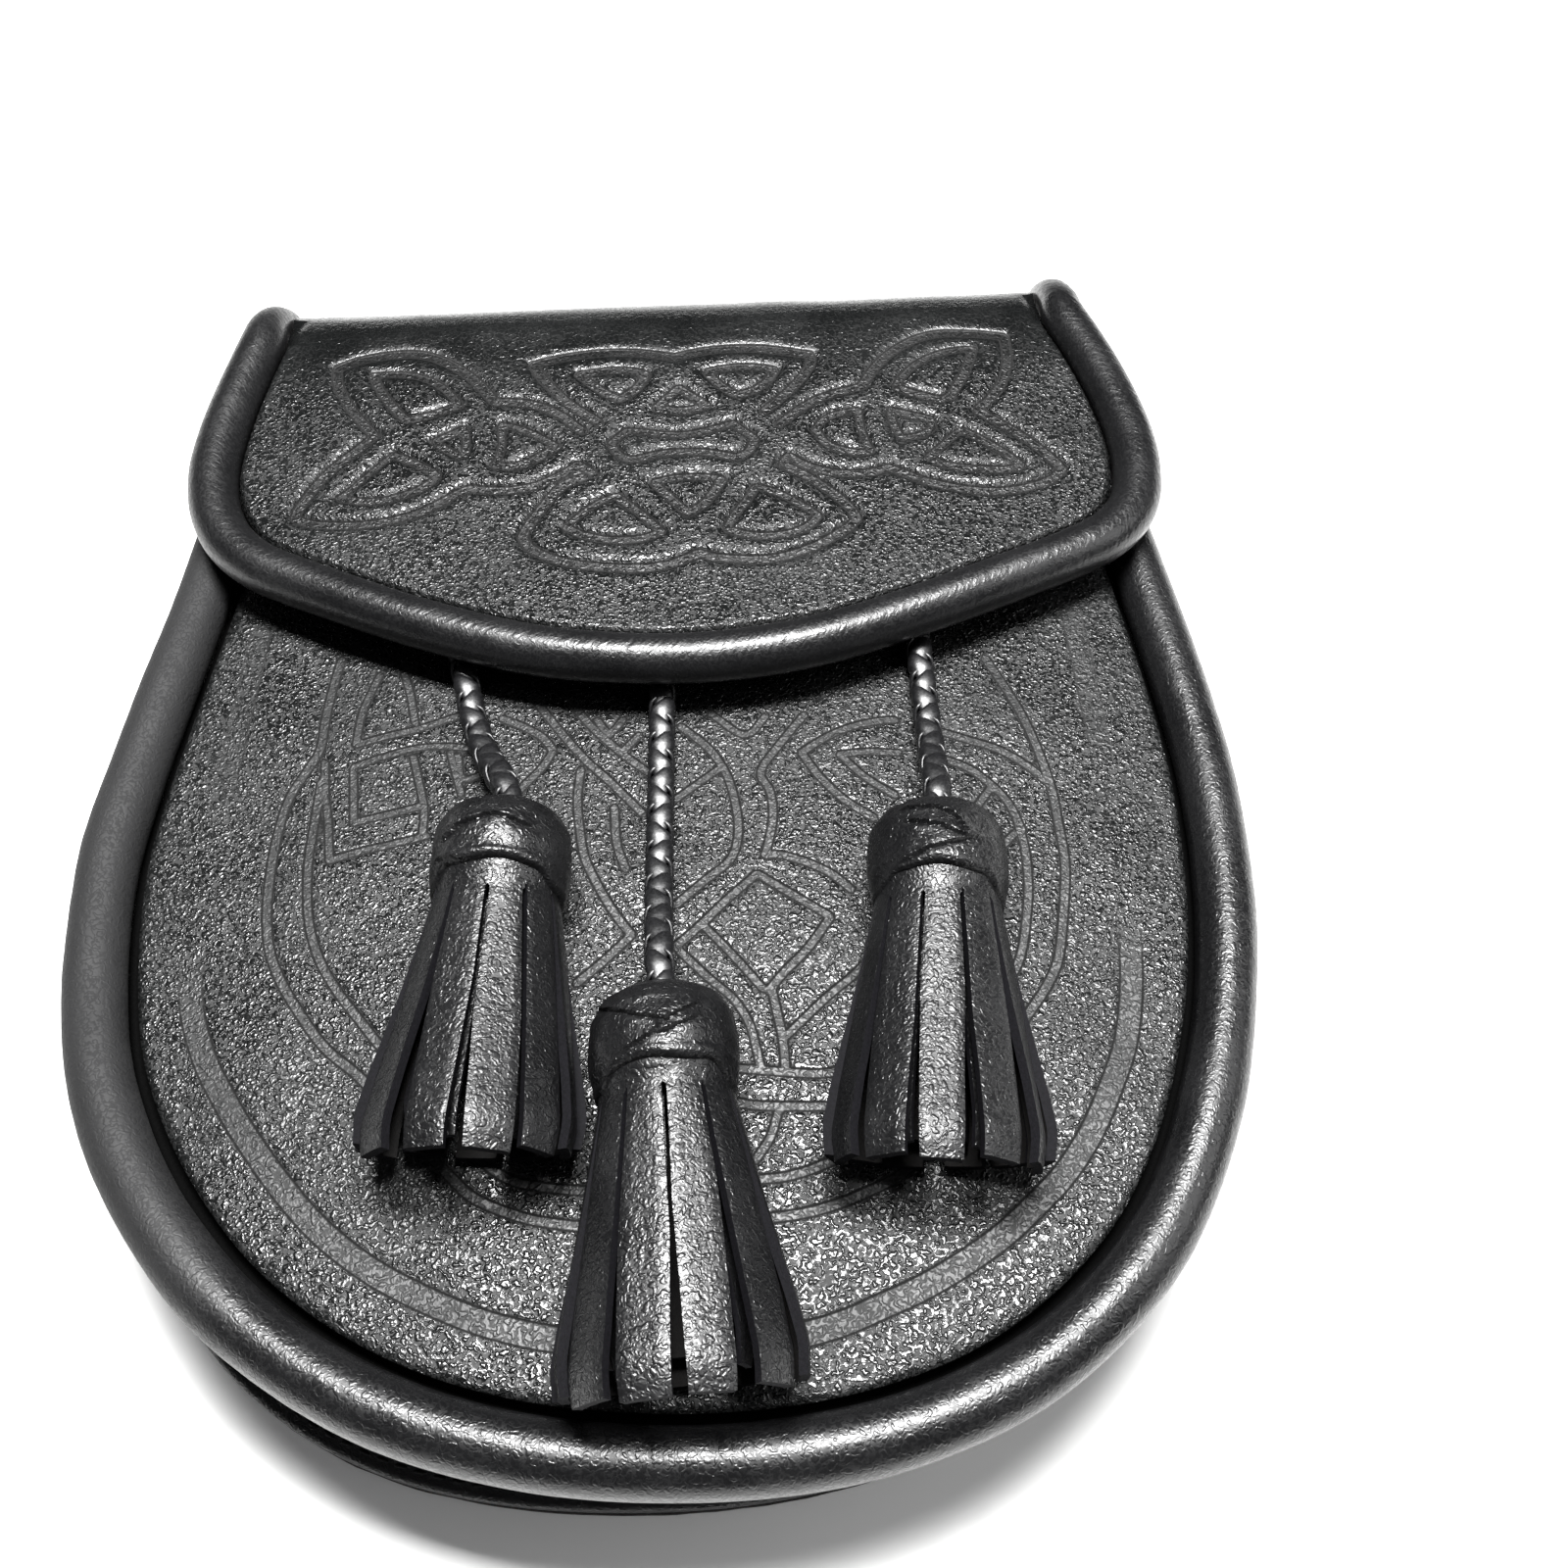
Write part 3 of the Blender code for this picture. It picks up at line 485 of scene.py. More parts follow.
def triangles(loops, points):
    """Triangles over the loops' corners and the points, inside the first loop and outside the others."""
    corners = np.vstack([*loops, points])
    edges, first = [], 0
    for loop in loops:
        count = len(loop)
        edges += [(first + k, first + (k + 1) % count) for k in range(count)]
        first += count
    made = geometry.delaunay_2d_cdt([Vector(p) for p in corners.tolist()], edges, [], 1, 1e-6, True)
    flat, faces = np.array([tuple(v) for v in made[0]]), np.array([f for f in made[2] if len(f) == 3])
    index = {}
    for new, olds in enumerate(made[3]):
        for old in olds:
            index[old] = new
    middle = flat[faces].mean(1)
    keep = inside(middle, loops[0])
    for hole in loops[1:]:
        keep &= ~inside(middle, hole)
    a, b, c = flat[faces[:, 0]], flat[faces[:, 1]], flat[faces[:, 2]]
    area = (b[:, 0] - a[:, 0]) * (c[:, 1] - a[:, 1]) - (b[:, 1] - a[:, 1]) * (c[:, 0] - a[:, 0])
    keep &= np.abs(area) > 1e-7
    faces = np.where((area > 0)[:, None], faces, faces[:, ::-1])[keep]
    rims, first = [], 0
    for loop in loops:
        rims.append([index[first + k] for k in range(len(loop))])
        first += len(loop)
    return flat, faces, rims


def open_side(rim):
    """The straight side between a rim's ends. It bows out by a hair, so that no triangle lies flat along it."""
    share = np.linspace(0.0, 1.0, 60)[1:-1, None]
    side = rim[-1] + share * (rim[0] - rim[-1])
    side[:, 1:] += 4 * SIDE_BOW * share * (1 - share)
    return side


def slab(loops, upper_points, lower_points, upper, lower):
    """A closed sheet with the first loop as its outline and the others as holes, all against the clock. The
    functions upper and lower turn flat points into corners. Returns the corners, the faces, whether each face is
    upper (0), lower (1) or a wall (2), and the number of lower corners."""
    top, top_faces, top_rims = triangles(loops, upper_points)
    base, base_faces, base_rims = triangles(loops, lower_points)
    count = len(top)
    corners = np.vstack([upper(top), lower(base)])
    faces = [*top_faces.tolist(), *(base_faces[:, ::-1] + count).tolist()]
    walls = 0
    for hole, (rim, foot) in enumerate(zip(top_rims, base_rims)):
        for k in range(len(rim)):
            turn = (k + 1) % len(rim)
            wall = [rim[turn], rim[k], foot[k] + count, foot[turn] + count]
            faces.append(wall if hole == 0 else wall[::-1])
            walls += 1
    index = np.zeros(len(faces), int)
    index[len(top_faces) : len(top_faces) + len(base_faces)] = 1
    index[-walls:] = 2
    return corners, faces, index, len(base)


def anticlockwise(loop):
    """The loop, or its reverse, so that it runs against the clock."""
    x, y = loop[:, 0], loop[:, 1]
    area = (x * np.roll(y, -1) - np.roll(x, -1) * y).sum()
    return loop if area > 0 else loop[::-1].copy()


# ---------------------------------------------------------------- materials

MATH, RANGE, MIX = "ShaderNodeMath", "ShaderNodeMapRange", "ShaderNodeMix"
NOISE, RAMP, BUMP = "ShaderNodeTexNoise", "ShaderNodeValToRGB", "ShaderNodeBump"
SHADER, OUTPUT = "ShaderNodeBsdfPrincipled", "ShaderNodeOutputMaterial"
EASED = {"interpolation_type": "SMOOTHSTEP"}


def linear(code):
    """A linear RGBA colour from an sRGB hex code."""
    parts = [int(code[k : k + 2], 16) / 255 for k in (1, 3, 5)]
    return (*[p / 12.92 if p <= 0.04045 else ((p + 0.055) / 1.055) ** 2.4 for p in parts], 1.0)


def add(tree, kind, inputs=(), stops=(), **settings):
    """A node of that kind. Its inputs, by name or in order, are values, sockets that feed them, or nodes whose
    first output does. The stops of a colour ramp are positions and hex codes."""
    made = tree.nodes.new(kind)
    for label, value in settings.items():
        setattr(made, label, value)
    for label, value in inputs.items() if isinstance(inputs, dict) else enumerate(inputs):
        if isinstance(value, bpy.types.Node):
            value = value.outputs[0]
        if isinstance(value, bpy.types.NodeSocket):
            tree.links.new(value, made.inputs[label])
        else:
            made.inputs[label].default_value = value
    if stops:
        for element, (position, code) in zip(made.color_ramp.elements, stops):
            element.position, element.color = position, linear(code)
    return made


def new_material(name):
    """An empty material, its node tree and the place on the piece, in metres."""
    material = bpy.data.materials.new(name)
    material.use_nodes = True
    tree = material.node_tree
    tree.nodes.clear()
    return material, tree, add(tree, "ShaderNodeTexCoord").outputs["Object"]


def grain(tree, place, size_mm):
    """Leather grain of about that size: its height, and 0 in the winding creases to 1 on the pebbles between them."""
    warp = add(tree, NOISE, {"Vector": place, "Scale": 0.7 / (size_mm * MM), "Detail": 1.0})
    moved = add(tree, "ShaderNodeVectorMath", (warp.outputs["Color"], (0.5, 0.5, 0.5)), operation="SUBTRACT")
    scaled = add(tree, "ShaderNodeVectorMath", {0: moved, 3: 1.3 * size_mm * MM}, operation="SCALE")
    bent = add(tree, "ShaderNodeVectorMath", (place, scaled), operation="ADD")
    hills = add(tree, NOISE, {"Vector": bent, "Scale": 0.8 / (size_mm * MM), "Detail": 1.0})
    crease = add(tree, MATH, (add(tree, MATH, (hills, 0.5), operation="SUBTRACT"),), operation="ABSOLUTE")
    pebbles = add(tree, RANGE, (crease, 0.0, 0.17), **EASED)
    height = add(tree, MATH, (hills, 2.4, pebbles), operation="MULTIPLY_ADD")
    return height, add(tree, RANGE, (crease, 0.01, 0.09), **EASED)


def stamped_leather(name, channel_codes, channel_grain, channel_crease_shade, channel_rough):
    """Black cowhide, printed with a small pebble grain and stamped while damp: the pebbles catch the light as
    short bright squiggles, and the stamped channels are ironed smooth, with painted shade as a dark line along their
    feet."""
    look = bpy.context.scene.pouch_look
    material, tree, place = new_material(name)
    edge = add(tree, "ShaderNodeAttribute", attribute_name="edge_mm").outputs["Fac"]
    rubbed = add(tree, "ShaderNodeAttribute", attribute_name="rubbed").outputs["Fac"]
    along = add(tree, "ShaderNodeSeparateXYZ", (place,)).outputs["Y"]
    height, crest = grain(tree, place, look.grain_mm)
    patches = add(tree, NOISE, {"Vector": place, "Scale": 1 / (14 * MM), "Detail": 3.0})
    mottle = add(tree, NOISE, {"Vector": place, "Scale": 1 / (1.6 * MM), "Detail": 3.0})
    # 0 in a channel, and 1 on the ground or where handling has rubbed the stamp away.
    unstamped = add(tree, RANGE, (edge, -0.05, 0.1), **EASED)
    raised = add(tree, MATH, (unstamped, rubbed), operation="MAXIMUM")
    # The grain is weaker in the channels, and towards the fold, where the leather is stretched.
    ironed = add(tree, RANGE, (raised, 0.0, 1.0, channel_grain, 1.0))
    stretched = add(tree, RANGE, (along, 72 * MM, 100 * MM, 1.0, 0.3), **EASED)
    amount = add(tree, MATH, (ironed, stretched), operation="MULTIPLY")
    relief = add(tree, MATH, (height, amount), operation="MULTIPLY")
    bump = add(tree, BUMP, {"Height": relief, "Distance": look.grain_depth_mm * MM, "Strength": 1.0})
    ground = add(tree, RAMP, (patches,), stops=((0.3, "#0a0b0b"), (0.7, "#111212")))
    floor = add(tree, RAMP, (mottle,), stops=((0.35, channel_codes[0]), (0.65, channel_codes[1])))
    colour = add(tree, MIX, {0: raised, 6: floor, 7: ground}, data_type="RGBA").outputs[2]
    # Painted shade: the colour turns near black along each channel's foot, where the crease lies in shadow, except
    # where the stamp is rubbed away.
    off_edge = add(tree, MATH, (edge,), operation="ABSOLUTE")
    line = add(tree, RANGE, (off_edge, 0.1, 0.3, channel_crease_shade, 0.0), **EASED)
    painted_crease_shade = add(tree, MATH, (line, add(tree, MATH, (1.0, rubbed), operation="SUBTRACT")), operation="MULTIPLY")
    colour = add(tree, MIX, {0: painted_crease_shade, 6: colour, 7: linear("#020202")}, data_type="RGBA").outputs[2]
    # The pebbles are the shiniest; channels, the painted crease shade and the grain's creases are duller.
    polish = add(tree, RANGE, (raised, 0.0, 1.0, channel_rough, 0.25))
    creased = add(tree, RANGE, (crest, 0.0, 1.0, 0.4, 0.0))
    uneven = add(tree, RANGE, (patches, 0.3, 0.7, -0.04, 0.05), **EASED)
    rough = add(tree, MATH, (polish, uneven), operation="ADD")
    rough = add(tree, MATH, (painted_crease_shade, 0.5, rough), operation="MULTIPLY_ADD")
    rough = add(tree, MATH, (creased, amount, rough), operation="MULTIPLY_ADD")
    shader = add(tree, SHADER, {"Base Color": colour, "Roughness": rough, "Normal": bump, "Specular IOR Level": 0.6})
    add(tree, OUTPUT, (shader,))
    return material


def smooth_leather(name, straight=False, hatch=0.0, grain_mm=0.7, depth_mm=0.04, polish=0.36, more_left=0.0):
    """Black cowhide with a fine natural grain, waxed and polished: long soft highlights, broken by the grain and,
    on the flap's roll, by fine creases that run across it."""
    # The grain of such a hide is too fine to show in the render: it is drawn coarser, at grain_mm.
    material, tree, on_piece = new_material(name)
    place = on_piece
    if straight:
        place = add(tree, "ShaderNodeAttribute", attribute_name="straight").outputs["Vector"]
    height, crest = grain(tree, place, grain_mm)
    patches = add(tree, NOISE, {"Vector": place, "Scale": 1 / (12 * MM), "Detail": 3.0})
    if hatch:
        slanted = add(tree, "ShaderNodeMapping",
                      {"Vector": place, "Rotation": (0.0, 0.75, 0.0), "Scale": (4.0, 4.0, 1.0)}, vector_type="TEXTURE")
        lines = add(tree, NOISE, {"Vector": slanted, "Scale": 1 / (0.9 * MM), "Detail": 1.0, "Distortion": 0.4})
        faint = add(tree, MATH, (height, 0.3), operation="MULTIPLY")
        height = add(tree, MATH, (lines, hatch, faint), operation="MULTIPLY_ADD")
    bump = add(tree, BUMP, {"Height": height, "Distance": depth_mm * MM, "Strength": 1.0})
    colour = add(tree, RAMP, (patches,), stops=((0.3, "#0c0c0d"), (0.7, "#131314")))
    uneven = add(tree, RANGE, (patches, 0.3, 0.7, polish - 0.03, polish + 0.04), **EASED)
    rough = add(tree, MATH, (uneven, add(tree, RANGE, (crest, 0.0, 1.0, 0.12, 0.0))), operation="ADD")
    if more_left:
        along = add(tree, "ShaderNodeSeparateXYZ", (on_piece,)).outputs["X"]
        duller = add(tree, RANGE, (along, -90 * MM, -50 * MM, more_left, 0.0), **EASED)
        rough = add(tree, MATH, (rough, duller), operation="ADD")
    shader = add(tree, SHADER, {"Base Color": colour, "Roughness": rough, "Normal": bump, "Specular IOR Level": 0.68})
    add(tree, OUTPUT, (shader,))
    return material


def cut_leather(name, codes, specular=0.3):
    """The cut side of the hide: dyed fibres, matt and slightly fuzzy, with no shine where it lies deep in a seam."""
    material, tree, place = new_material(name)
    # Real fibres are finer than 0.1 mm, too fine to show in the render: they are drawn at 0.5 mm.
    fibres = add(tree, NOISE, {"Vector": place, "Scale": 1 / (0.5 * MM), "Detail": 4.0, "Roughness": 0.7})
    bump = add(tree, BUMP, {"Height": fibres, "Distance": 0.1 * MM, "Strength": 1.0})
    colour = add(tree, RAMP, (fibres,), stops=((0.3, codes[0]), (0.7, codes[1])))
    shader = add(tree, SHADER,
                 {"Base Color": colour, "Roughness": 0.72, "Normal": bump, "Specular IOR Level": specular})
    add(tree, OUTPUT, (shader,))
    return material


def braid_leather(name):
    """Round cord braided from four waxed leather laces: glossy black, with a bright line along each lace."""
    material, tree, place = new_material(name)
    # The lace's pores are too fine to show in the render: they are drawn at 0.5 mm.
    pores = add(tree, NOISE, {"Vector": place, "Scale": 1 / (0.5 * MM), "Detail": 2.0})
    bump = add(tree, BUMP, {"Height": pores, "Distance": 0.03 * MM, "Strength": 1.0})
    colour = add(tree, RAMP, (pores,), stops=((0.3, "#0b0b0c"), (0.7, "#141416")))
    rough = add(tree, RANGE, (pores, 0.3, 0.7, 0.36, 0.44), **EASED)
    shader = add(tree, SHADER, {"Base Color": colour, "Roughness": rough, "Normal": bump, "Specular IOR Level": 0.9})
    add(tree, OUTPUT, (shader,))
    return material


def nickel_steel(name):
    """Steel wire and pressings, nickel plated: bright warm grey, with fine drawing marks."""
    material, tree, place = new_material(name)
    # Real drawing marks are too fine to show in the render: they are drawn at 1.5 mm.
    marks = add(tree, NOISE, {"Vector": place, "Scale": 1 / (1.5 * MM), "Detail": 4.0})
    bump = add(tree, BUMP, {"Height": marks, "Distance": 0.01 * MM, "Strength": 1.0})
    colour = add(tree, RAMP, (marks,), stops=((0.3, "#b9b7b0"), (0.7, "#c9c7c1")))
    rough = add(tree, RANGE, (marks, 0.3, 0.7, 0.18, 0.3), **EASED)
    shader = add(tree, SHADER, {"Base Color": colour, "Roughness": rough, "Normal": bump, "Metallic": 1.0})
    add(tree, OUTPUT, (shader,))
    return material


def waxed_thread(name):
    """Black waxed linen thread: a soft dull shine on each short stitch."""
    material, tree, place = new_material(name)
    twist = add(tree, NOISE, {"Vector": place, "Scale": 1 / (0.3 * MM), "Detail": 1.0})
    bump = add(tree, BUMP, {"Height": twist, "Distance": 0.05 * MM, "Strength": 1.0})
    colour = add(tree, RAMP, (twist,), stops=((0.3, "#030303"), (0.7, "#090909")))
    shader = add(tree, SHADER, {"Base Color": colour, "Roughness": 0.6, "Normal": bump, "Specular IOR Level": 0.25})
    add(tree, OUTPUT, (shader,))
    return material


def paper_floor(name):
    """Matt white studio paper: a faint tooth and no shine. It glows a little, to stay white out to the edges."""
    material, tree, place = new_material(name)
    # Paper's real tooth is too fine to show in the render: it is drawn at 3 mm.
    tooth = add(tree, NOISE, {"Vector": place, "Scale": 1 / (3 * MM), "Detail": 3.0})
    colour = add(tree, RAMP, (tooth,), stops=((0.2, "#f4f4f3"), (0.8, "#fafaf9")))
    shader = add(tree, SHADER, {"Base Color": colour, "Roughness": 0.85, "Specular IOR Level": 0.2,
                                "Emission Color": linear("#ffffff"), "Emission Strength": 0.1})
    add(tree, OUTPUT, (shader,))
    return material


# Each material's maker, name and settings.
MATERIALS = {
    "flap": (stamped_leather, "stamped_cowhide_flap",
             {"channel_codes": ("#040505", "#090909"), "channel_grain": 0.7, "channel_crease_shade": 0.99,
              "channel_rough": 0.36}),
    "front": (stamped_leather, "stamped_cowhide_front",
              {"channel_codes": ("#090a0a", "#101111"), "channel_grain": 0.55, "channel_crease_shade": 0.95,
               "channel_rough": 0.46}),
    "roll": (smooth_leather, "polished_cowhide_flap_roll",
             {"straight": True, "hatch": 2.2, "depth_mm": 0.055, "polish": 0.3, "more_left": 0.08}),
    "body": (smooth_leather, "polished_cowhide_body_roll",
             {"straight": True, "grain_mm": 0.8, "depth_mm": 0.03, "polish": 0.3, "more_left": 0.42}),
    "tassel": (smooth_leather, "polished_cowhide_tassel", {"grain_mm": 0.8, "depth_mm": 0.06, "polish": 0.31}),
    "smooth": (smooth_leather, "polished_cowhide", {}),
    "edge": (cut_leather, "cut_cowhide_edge", {"codes": ("#1c1917", "#332f2c")}),
    "strip_edge": (cut_leather, "cut_cowhide_strip", {"codes": ("#08080a", "#131216"), "specular": 0.12}),
    # Near-black painted shade for the cut walls and the ledge that lie deep in the groove by the roll.
    "seam": (cut_leather, "cut_cowhide_in_seam", {"codes": ("#020202", "#060606"), "specular": 0.03}),
    "flesh": (cut_leather, "cowhide_flesh_side", {"codes": ("#0d0c0c", "#1c1a19")}),
    "braid": (braid_leather, "waxed_braided_lace", {}),
    "steel": (nickel_steel, "nickel_plated_steel", {}),
    "thread": (waxed_thread, "waxed_thread", {}),
    "floor": (paper_floor, "studio_paper", {}),
}


def material_of(key):
    """The key's material, made on its first use."""
    maker, name, settings = MATERIALS[key]
    return bpy.data.materials.get(name) or maker(name, **settings)


# ---------------------------------------------------------------- stitches


def stitch_tree(thread):
    """Short stitches at even steps along a curve."""
    tree = bpy.data.node_groups.new("stitches", "GeometryNodeTree")
    tree.interface.new_socket("Line", in_out="INPUT", socket_type="NodeSocketGeometry")
    for label, kind, default in (("Pitch", "NodeSocketFloat", 2.3 * MM), ("Length", "NodeSocketFloat", 1.7 * MM),
                                 ("Thickness", "NodeSocketFloat", 0.45 * MM)):
        socket = tree.interface.new_socket(label, in_out="INPUT", socket_type=kind)
        socket.default_value = default
    tree.interface.new_socket("Stitches", in_out="OUTPUT", socket_type="NodeSocketGeometry")
    given = add(tree, "NodeGroupInput").outputs
    spots = add(tree, "GeometryNodeResampleCurve", {"Curve": given["Line"], "Length": given["Pitch"]}, mode="LENGTH")
    one = add(tree, "GeometryNodeMeshUVSphere", {"Segments": 8, "Rings": 6, "Radius": 0.5})
    size = add(tree, "ShaderNodeCombineXYZ", {"X": given["Thickness"], "Y": given["Thickness"], "Z": given["Length"]})
    turn = add(tree, "FunctionNodeAlignEulerToVector", {"Vector": add(tree, "GeometryNodeInputTangent")}, axis="Z")
    tilt = add(tree, "FunctionNodeRandomValue", {"Min": (-0.12, -0.12, -0.12), "Max": (0.12, 0.12, 0.12), "Seed": 7},
               data_type="FLOAT_VECTOR")
    both = add(tree, "ShaderNodeVectorMath", (turn, tilt), operation="ADD")
    placed = add(tree, "GeometryNodeInstanceOnPoints",
                 {"Points": spots, "Instance": one, "Rotation": both, "Scale": size})
    smooth = add(tree, "GeometryNodeSetShadeSmooth", (add(tree, "GeometryNodeRealizeInstances", (placed,)),))
    sewn = add(tree, "GeometryNodeSetMaterial", {"Geometry": smooth, "Material": thread})
    add(tree, "NodeGroupOutput", (sewn,))
    return tree


def sew(name, lines, pitch_mm, length_mm, thick_mm):
    """A plain mesh of stitches along lines in the drawing's millimetres."""
    curve = bpy.data.curves.new(name, "CURVE")
    curve.dimensions = "3D"
    for line in lines:
        spline = curve.splines.new("POLY")
        spline.points.add(len(line) - 1)
        at = (np.asarray(line) + PLACE) * MM
        spline.points.foreach_set("co", np.column_stack([at, np.ones(len(at))]).ravel())
    guide = bpy.data.objects.new(name + "_line", curve)
    bpy.context.scene.collection.objects.link(guide)
    tree = bpy.data.node_groups.get("stitches") or stitch_tree(material_of("thread"))
    modifier = guide.modifiers.new("stitches", "NODES")
    modifier.node_group = tree
    sizes = {"Pitch": pitch_mm, "Length": length_mm, "Thickness": thick_mm}
    for item in tree.interface.items_tree:
        if item.in_out == "INPUT" and item.name in sizes:
            modifier[item.identifier] = sizes[item.name] * MM
    graph = bpy.context.evaluated_depsgraph_get()
    mesh = bpy.data.meshes.new_from_object(guide.evaluated_get(graph), depsgraph=graph)
    mesh.name = name
    bpy.data.objects.remove(guide)
    if not mesh.polygons:
        raise RuntimeError(f"{name}: the stitches came out empty")
    made = bpy.data.objects.new(name, mesh)
    bpy.context.scene.collection.objects.link(made)
    return dressed(made, "smooth_leather")


def creased(piece):
    """The piece, with a sharp crease wherever its faces meet at more than 50 degrees."""
    edges = piece.modifiers.new("edges", "EDGE_SPLIT")
    edges.split_angle = math.radians(50)
    return piece


def dressed(piece, slot, *nodes):
    """The piece rides on the one body and stands for the solids. The slot is not used."""
    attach(piece, "root")
    if nodes:
        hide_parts(*nodes)
    return piece


# ---------------------------------------------------------------- the pieces


def fold_line(steps):
    """The flap's mid-line over the fold and down its tail: y, z and the way it faces, with the length along it."""
    tail_z = back_z(FOLD_Y) - GAP - LEATHER / 2
    middle, half = (FLAP_Z + tail_z) / 2, (FLAP_Z - tail_z) / 2
    turn = np.linspace(math.pi / 2, -math.pi / 2, steps)
    y, z = FOLD_Y + FOLD_DEPTH * np.cos(turn), middle + half * np.sin(turn)
    facing = np.stack([half * np.cos(turn), FOLD_DEPTH * np.sin(turn)], 1)
    facing /= np.linalg.norm(facing, axis=1)[:, None]
    y, z = np.append(y, TAIL_Y), np.append(z, back_z(TAIL_Y) - GAP - LEATHER / 2)
    facing = np.vstack([facing, facing[-1]])
    reach = np.concatenate([[0.0], np.cumsum(np.hypot(np.diff(y), np.diff(z)))])
    return y, z, facing, reach


def bend_over(flat, out):
    """Flat flap points, with y measured along the leather, laid over the fold and moved out by that much."""
    y, z, facing, reach = fold_line(FOLD_SAMPLES)
    past = flat[:, 1] - FOLD_Y
    over = np.clip(past, 0.0, reach[-1])
    at_y = np.where(past > 0, np.interp(over, reach, y), flat[:, 1])
    at_z = np.where(past > 0, np.interp(over, reach, z), FLAP_Z)
    face_y = np.where(past > 0, np.interp(over, reach, facing[:, 0]), 0.0)
    face_z = np.where(past > 0, np.interp(over, reach, facing[:, 1]), 1.0)
    return np.stack([flat[:, 0], at_y + face_y * out, at_z + face_z * out], 1)


def make_flap():
    """The stamped sheet from the flap's lower edge over the fold to its tail on the back."""
    look = bpy.context.scene.pouch_look
    reach = fold_line(FOLD_SAMPLES)[3][-1]
    rim = moved_out(roll_route(FLAP_ROWS, FLAP_LOWEST, 0.7), -FLAP_ROLL_D / 2 - GAP)
    left_x, right_x = FLAP_ROWS[0][1] + FLAP_ROLL_D / 2 + GAP, FLAP_ROWS[0][2] - FLAP_ROLL_D / 2 - GAP
    rim = rim[rim[:, 1] < FOLD_Y - 1]
    up = np.arange(FOLD_Y, FOLD_Y + reach, 1.8)
    right = np.stack([np.full(len(up), right_x), up], 1)
    top = np.stack([np.linspace(right_x, left_x, 80), np.full(80, FOLD_Y + reach)], 1)
    left = np.stack([np.full(len(up), left_x), up[::-1]], 1)
    loop = anticlockwise(np.vstack([rim, right, top, left]))
    marks = thinned(channel_marks(FLAP_CHANNELS, (-0.4, -0.12, 0.1, 0.5, 1.0), 0.6), 0.2)
    grid = grid_points(loop, look.relief_step_mm)
    grid = grid[grid[:, 1] < FOLD_Y + 4]
    grid = grid[channel_distance(grid, FLAP_CHANNELS) > 1.3]
    over = grid_points(loop, 2.0)
    points = np.vstack([marks, grid, over[over[:, 1] > FOLD_Y + 5]])
    points = points[inside(points, loop)]
    points = points[loop_distance(points, loop) > 2.5]
    # Rows along the seam carry the lip that the thread draws down.
    seam = [moved_out(rim, -inwards) for inwards in (0.4, 0.8, 1.25, 1.75, 2.3)]
    points = np.vstack([points, *[row[loop_distance(row, loop) > 0.3] for row in seam]])
    under = grid_points(loop, 5.0)
    under = under[inside(under, loop)]
    under = under[loop_distance(under, loop) > 2.5]

    def upper(flat):
        """The grained side's corners. Their distances from the channels are kept for the piece's attribute."""
        edge = channel_distance(flat, FLAP_CHANNELS)
        rim_off, reach_at = loop_distance(flat, loop, True)
        # Towards the fold the stamp was pressed less deep.
        pressed = 1 - 0.55 * eased(flat[:, 1], 74.0, 93.0)
        # The leather sinks softly beside a channel, and steeply at its side.
        puff = -0.75 * pressed * look.flap_depth_mm * np.clip((1.7 - edge) / 1.6, 0.0, 1.0) ** 2
        sunk = -0.25 * look.flap_depth_mm * (1 - eased(edge, -0.12, 0.1))
        pinch = 0.5 + 0.5 * np.cos(2 * math.pi * reach_at / look.seam_pitch_mm)
        lip = -1.25 * (1 - eased(rim_off, 0.0, 0.7 + 0.6 * pinch))
        lip = np.where(flat[:, 1] < FOLD_Y + 8, lip, 0.0)
        wavy = 0.12 * lumps(flat, 22.0, 3)
        upper.edge = edge
        return bend_over(flat, LEATHER / 2 + sunk + puff + lip + wavy)

    corners, faces, index, low_count = slab([loop], points, under, upper,
                                            lambda flat: bend_over(flat, -LEATHER / 2))
    edge = np.concatenate([upper.edge, np.full(low_count, NO_STAMP)])
    made = make_piece("flap", corners, faces, [material_of("flap"), material_of("flesh"), material_of("edge")],
                      {"edge_mm": edge}, index)
    return dressed(made, "grained_leather", "flap")


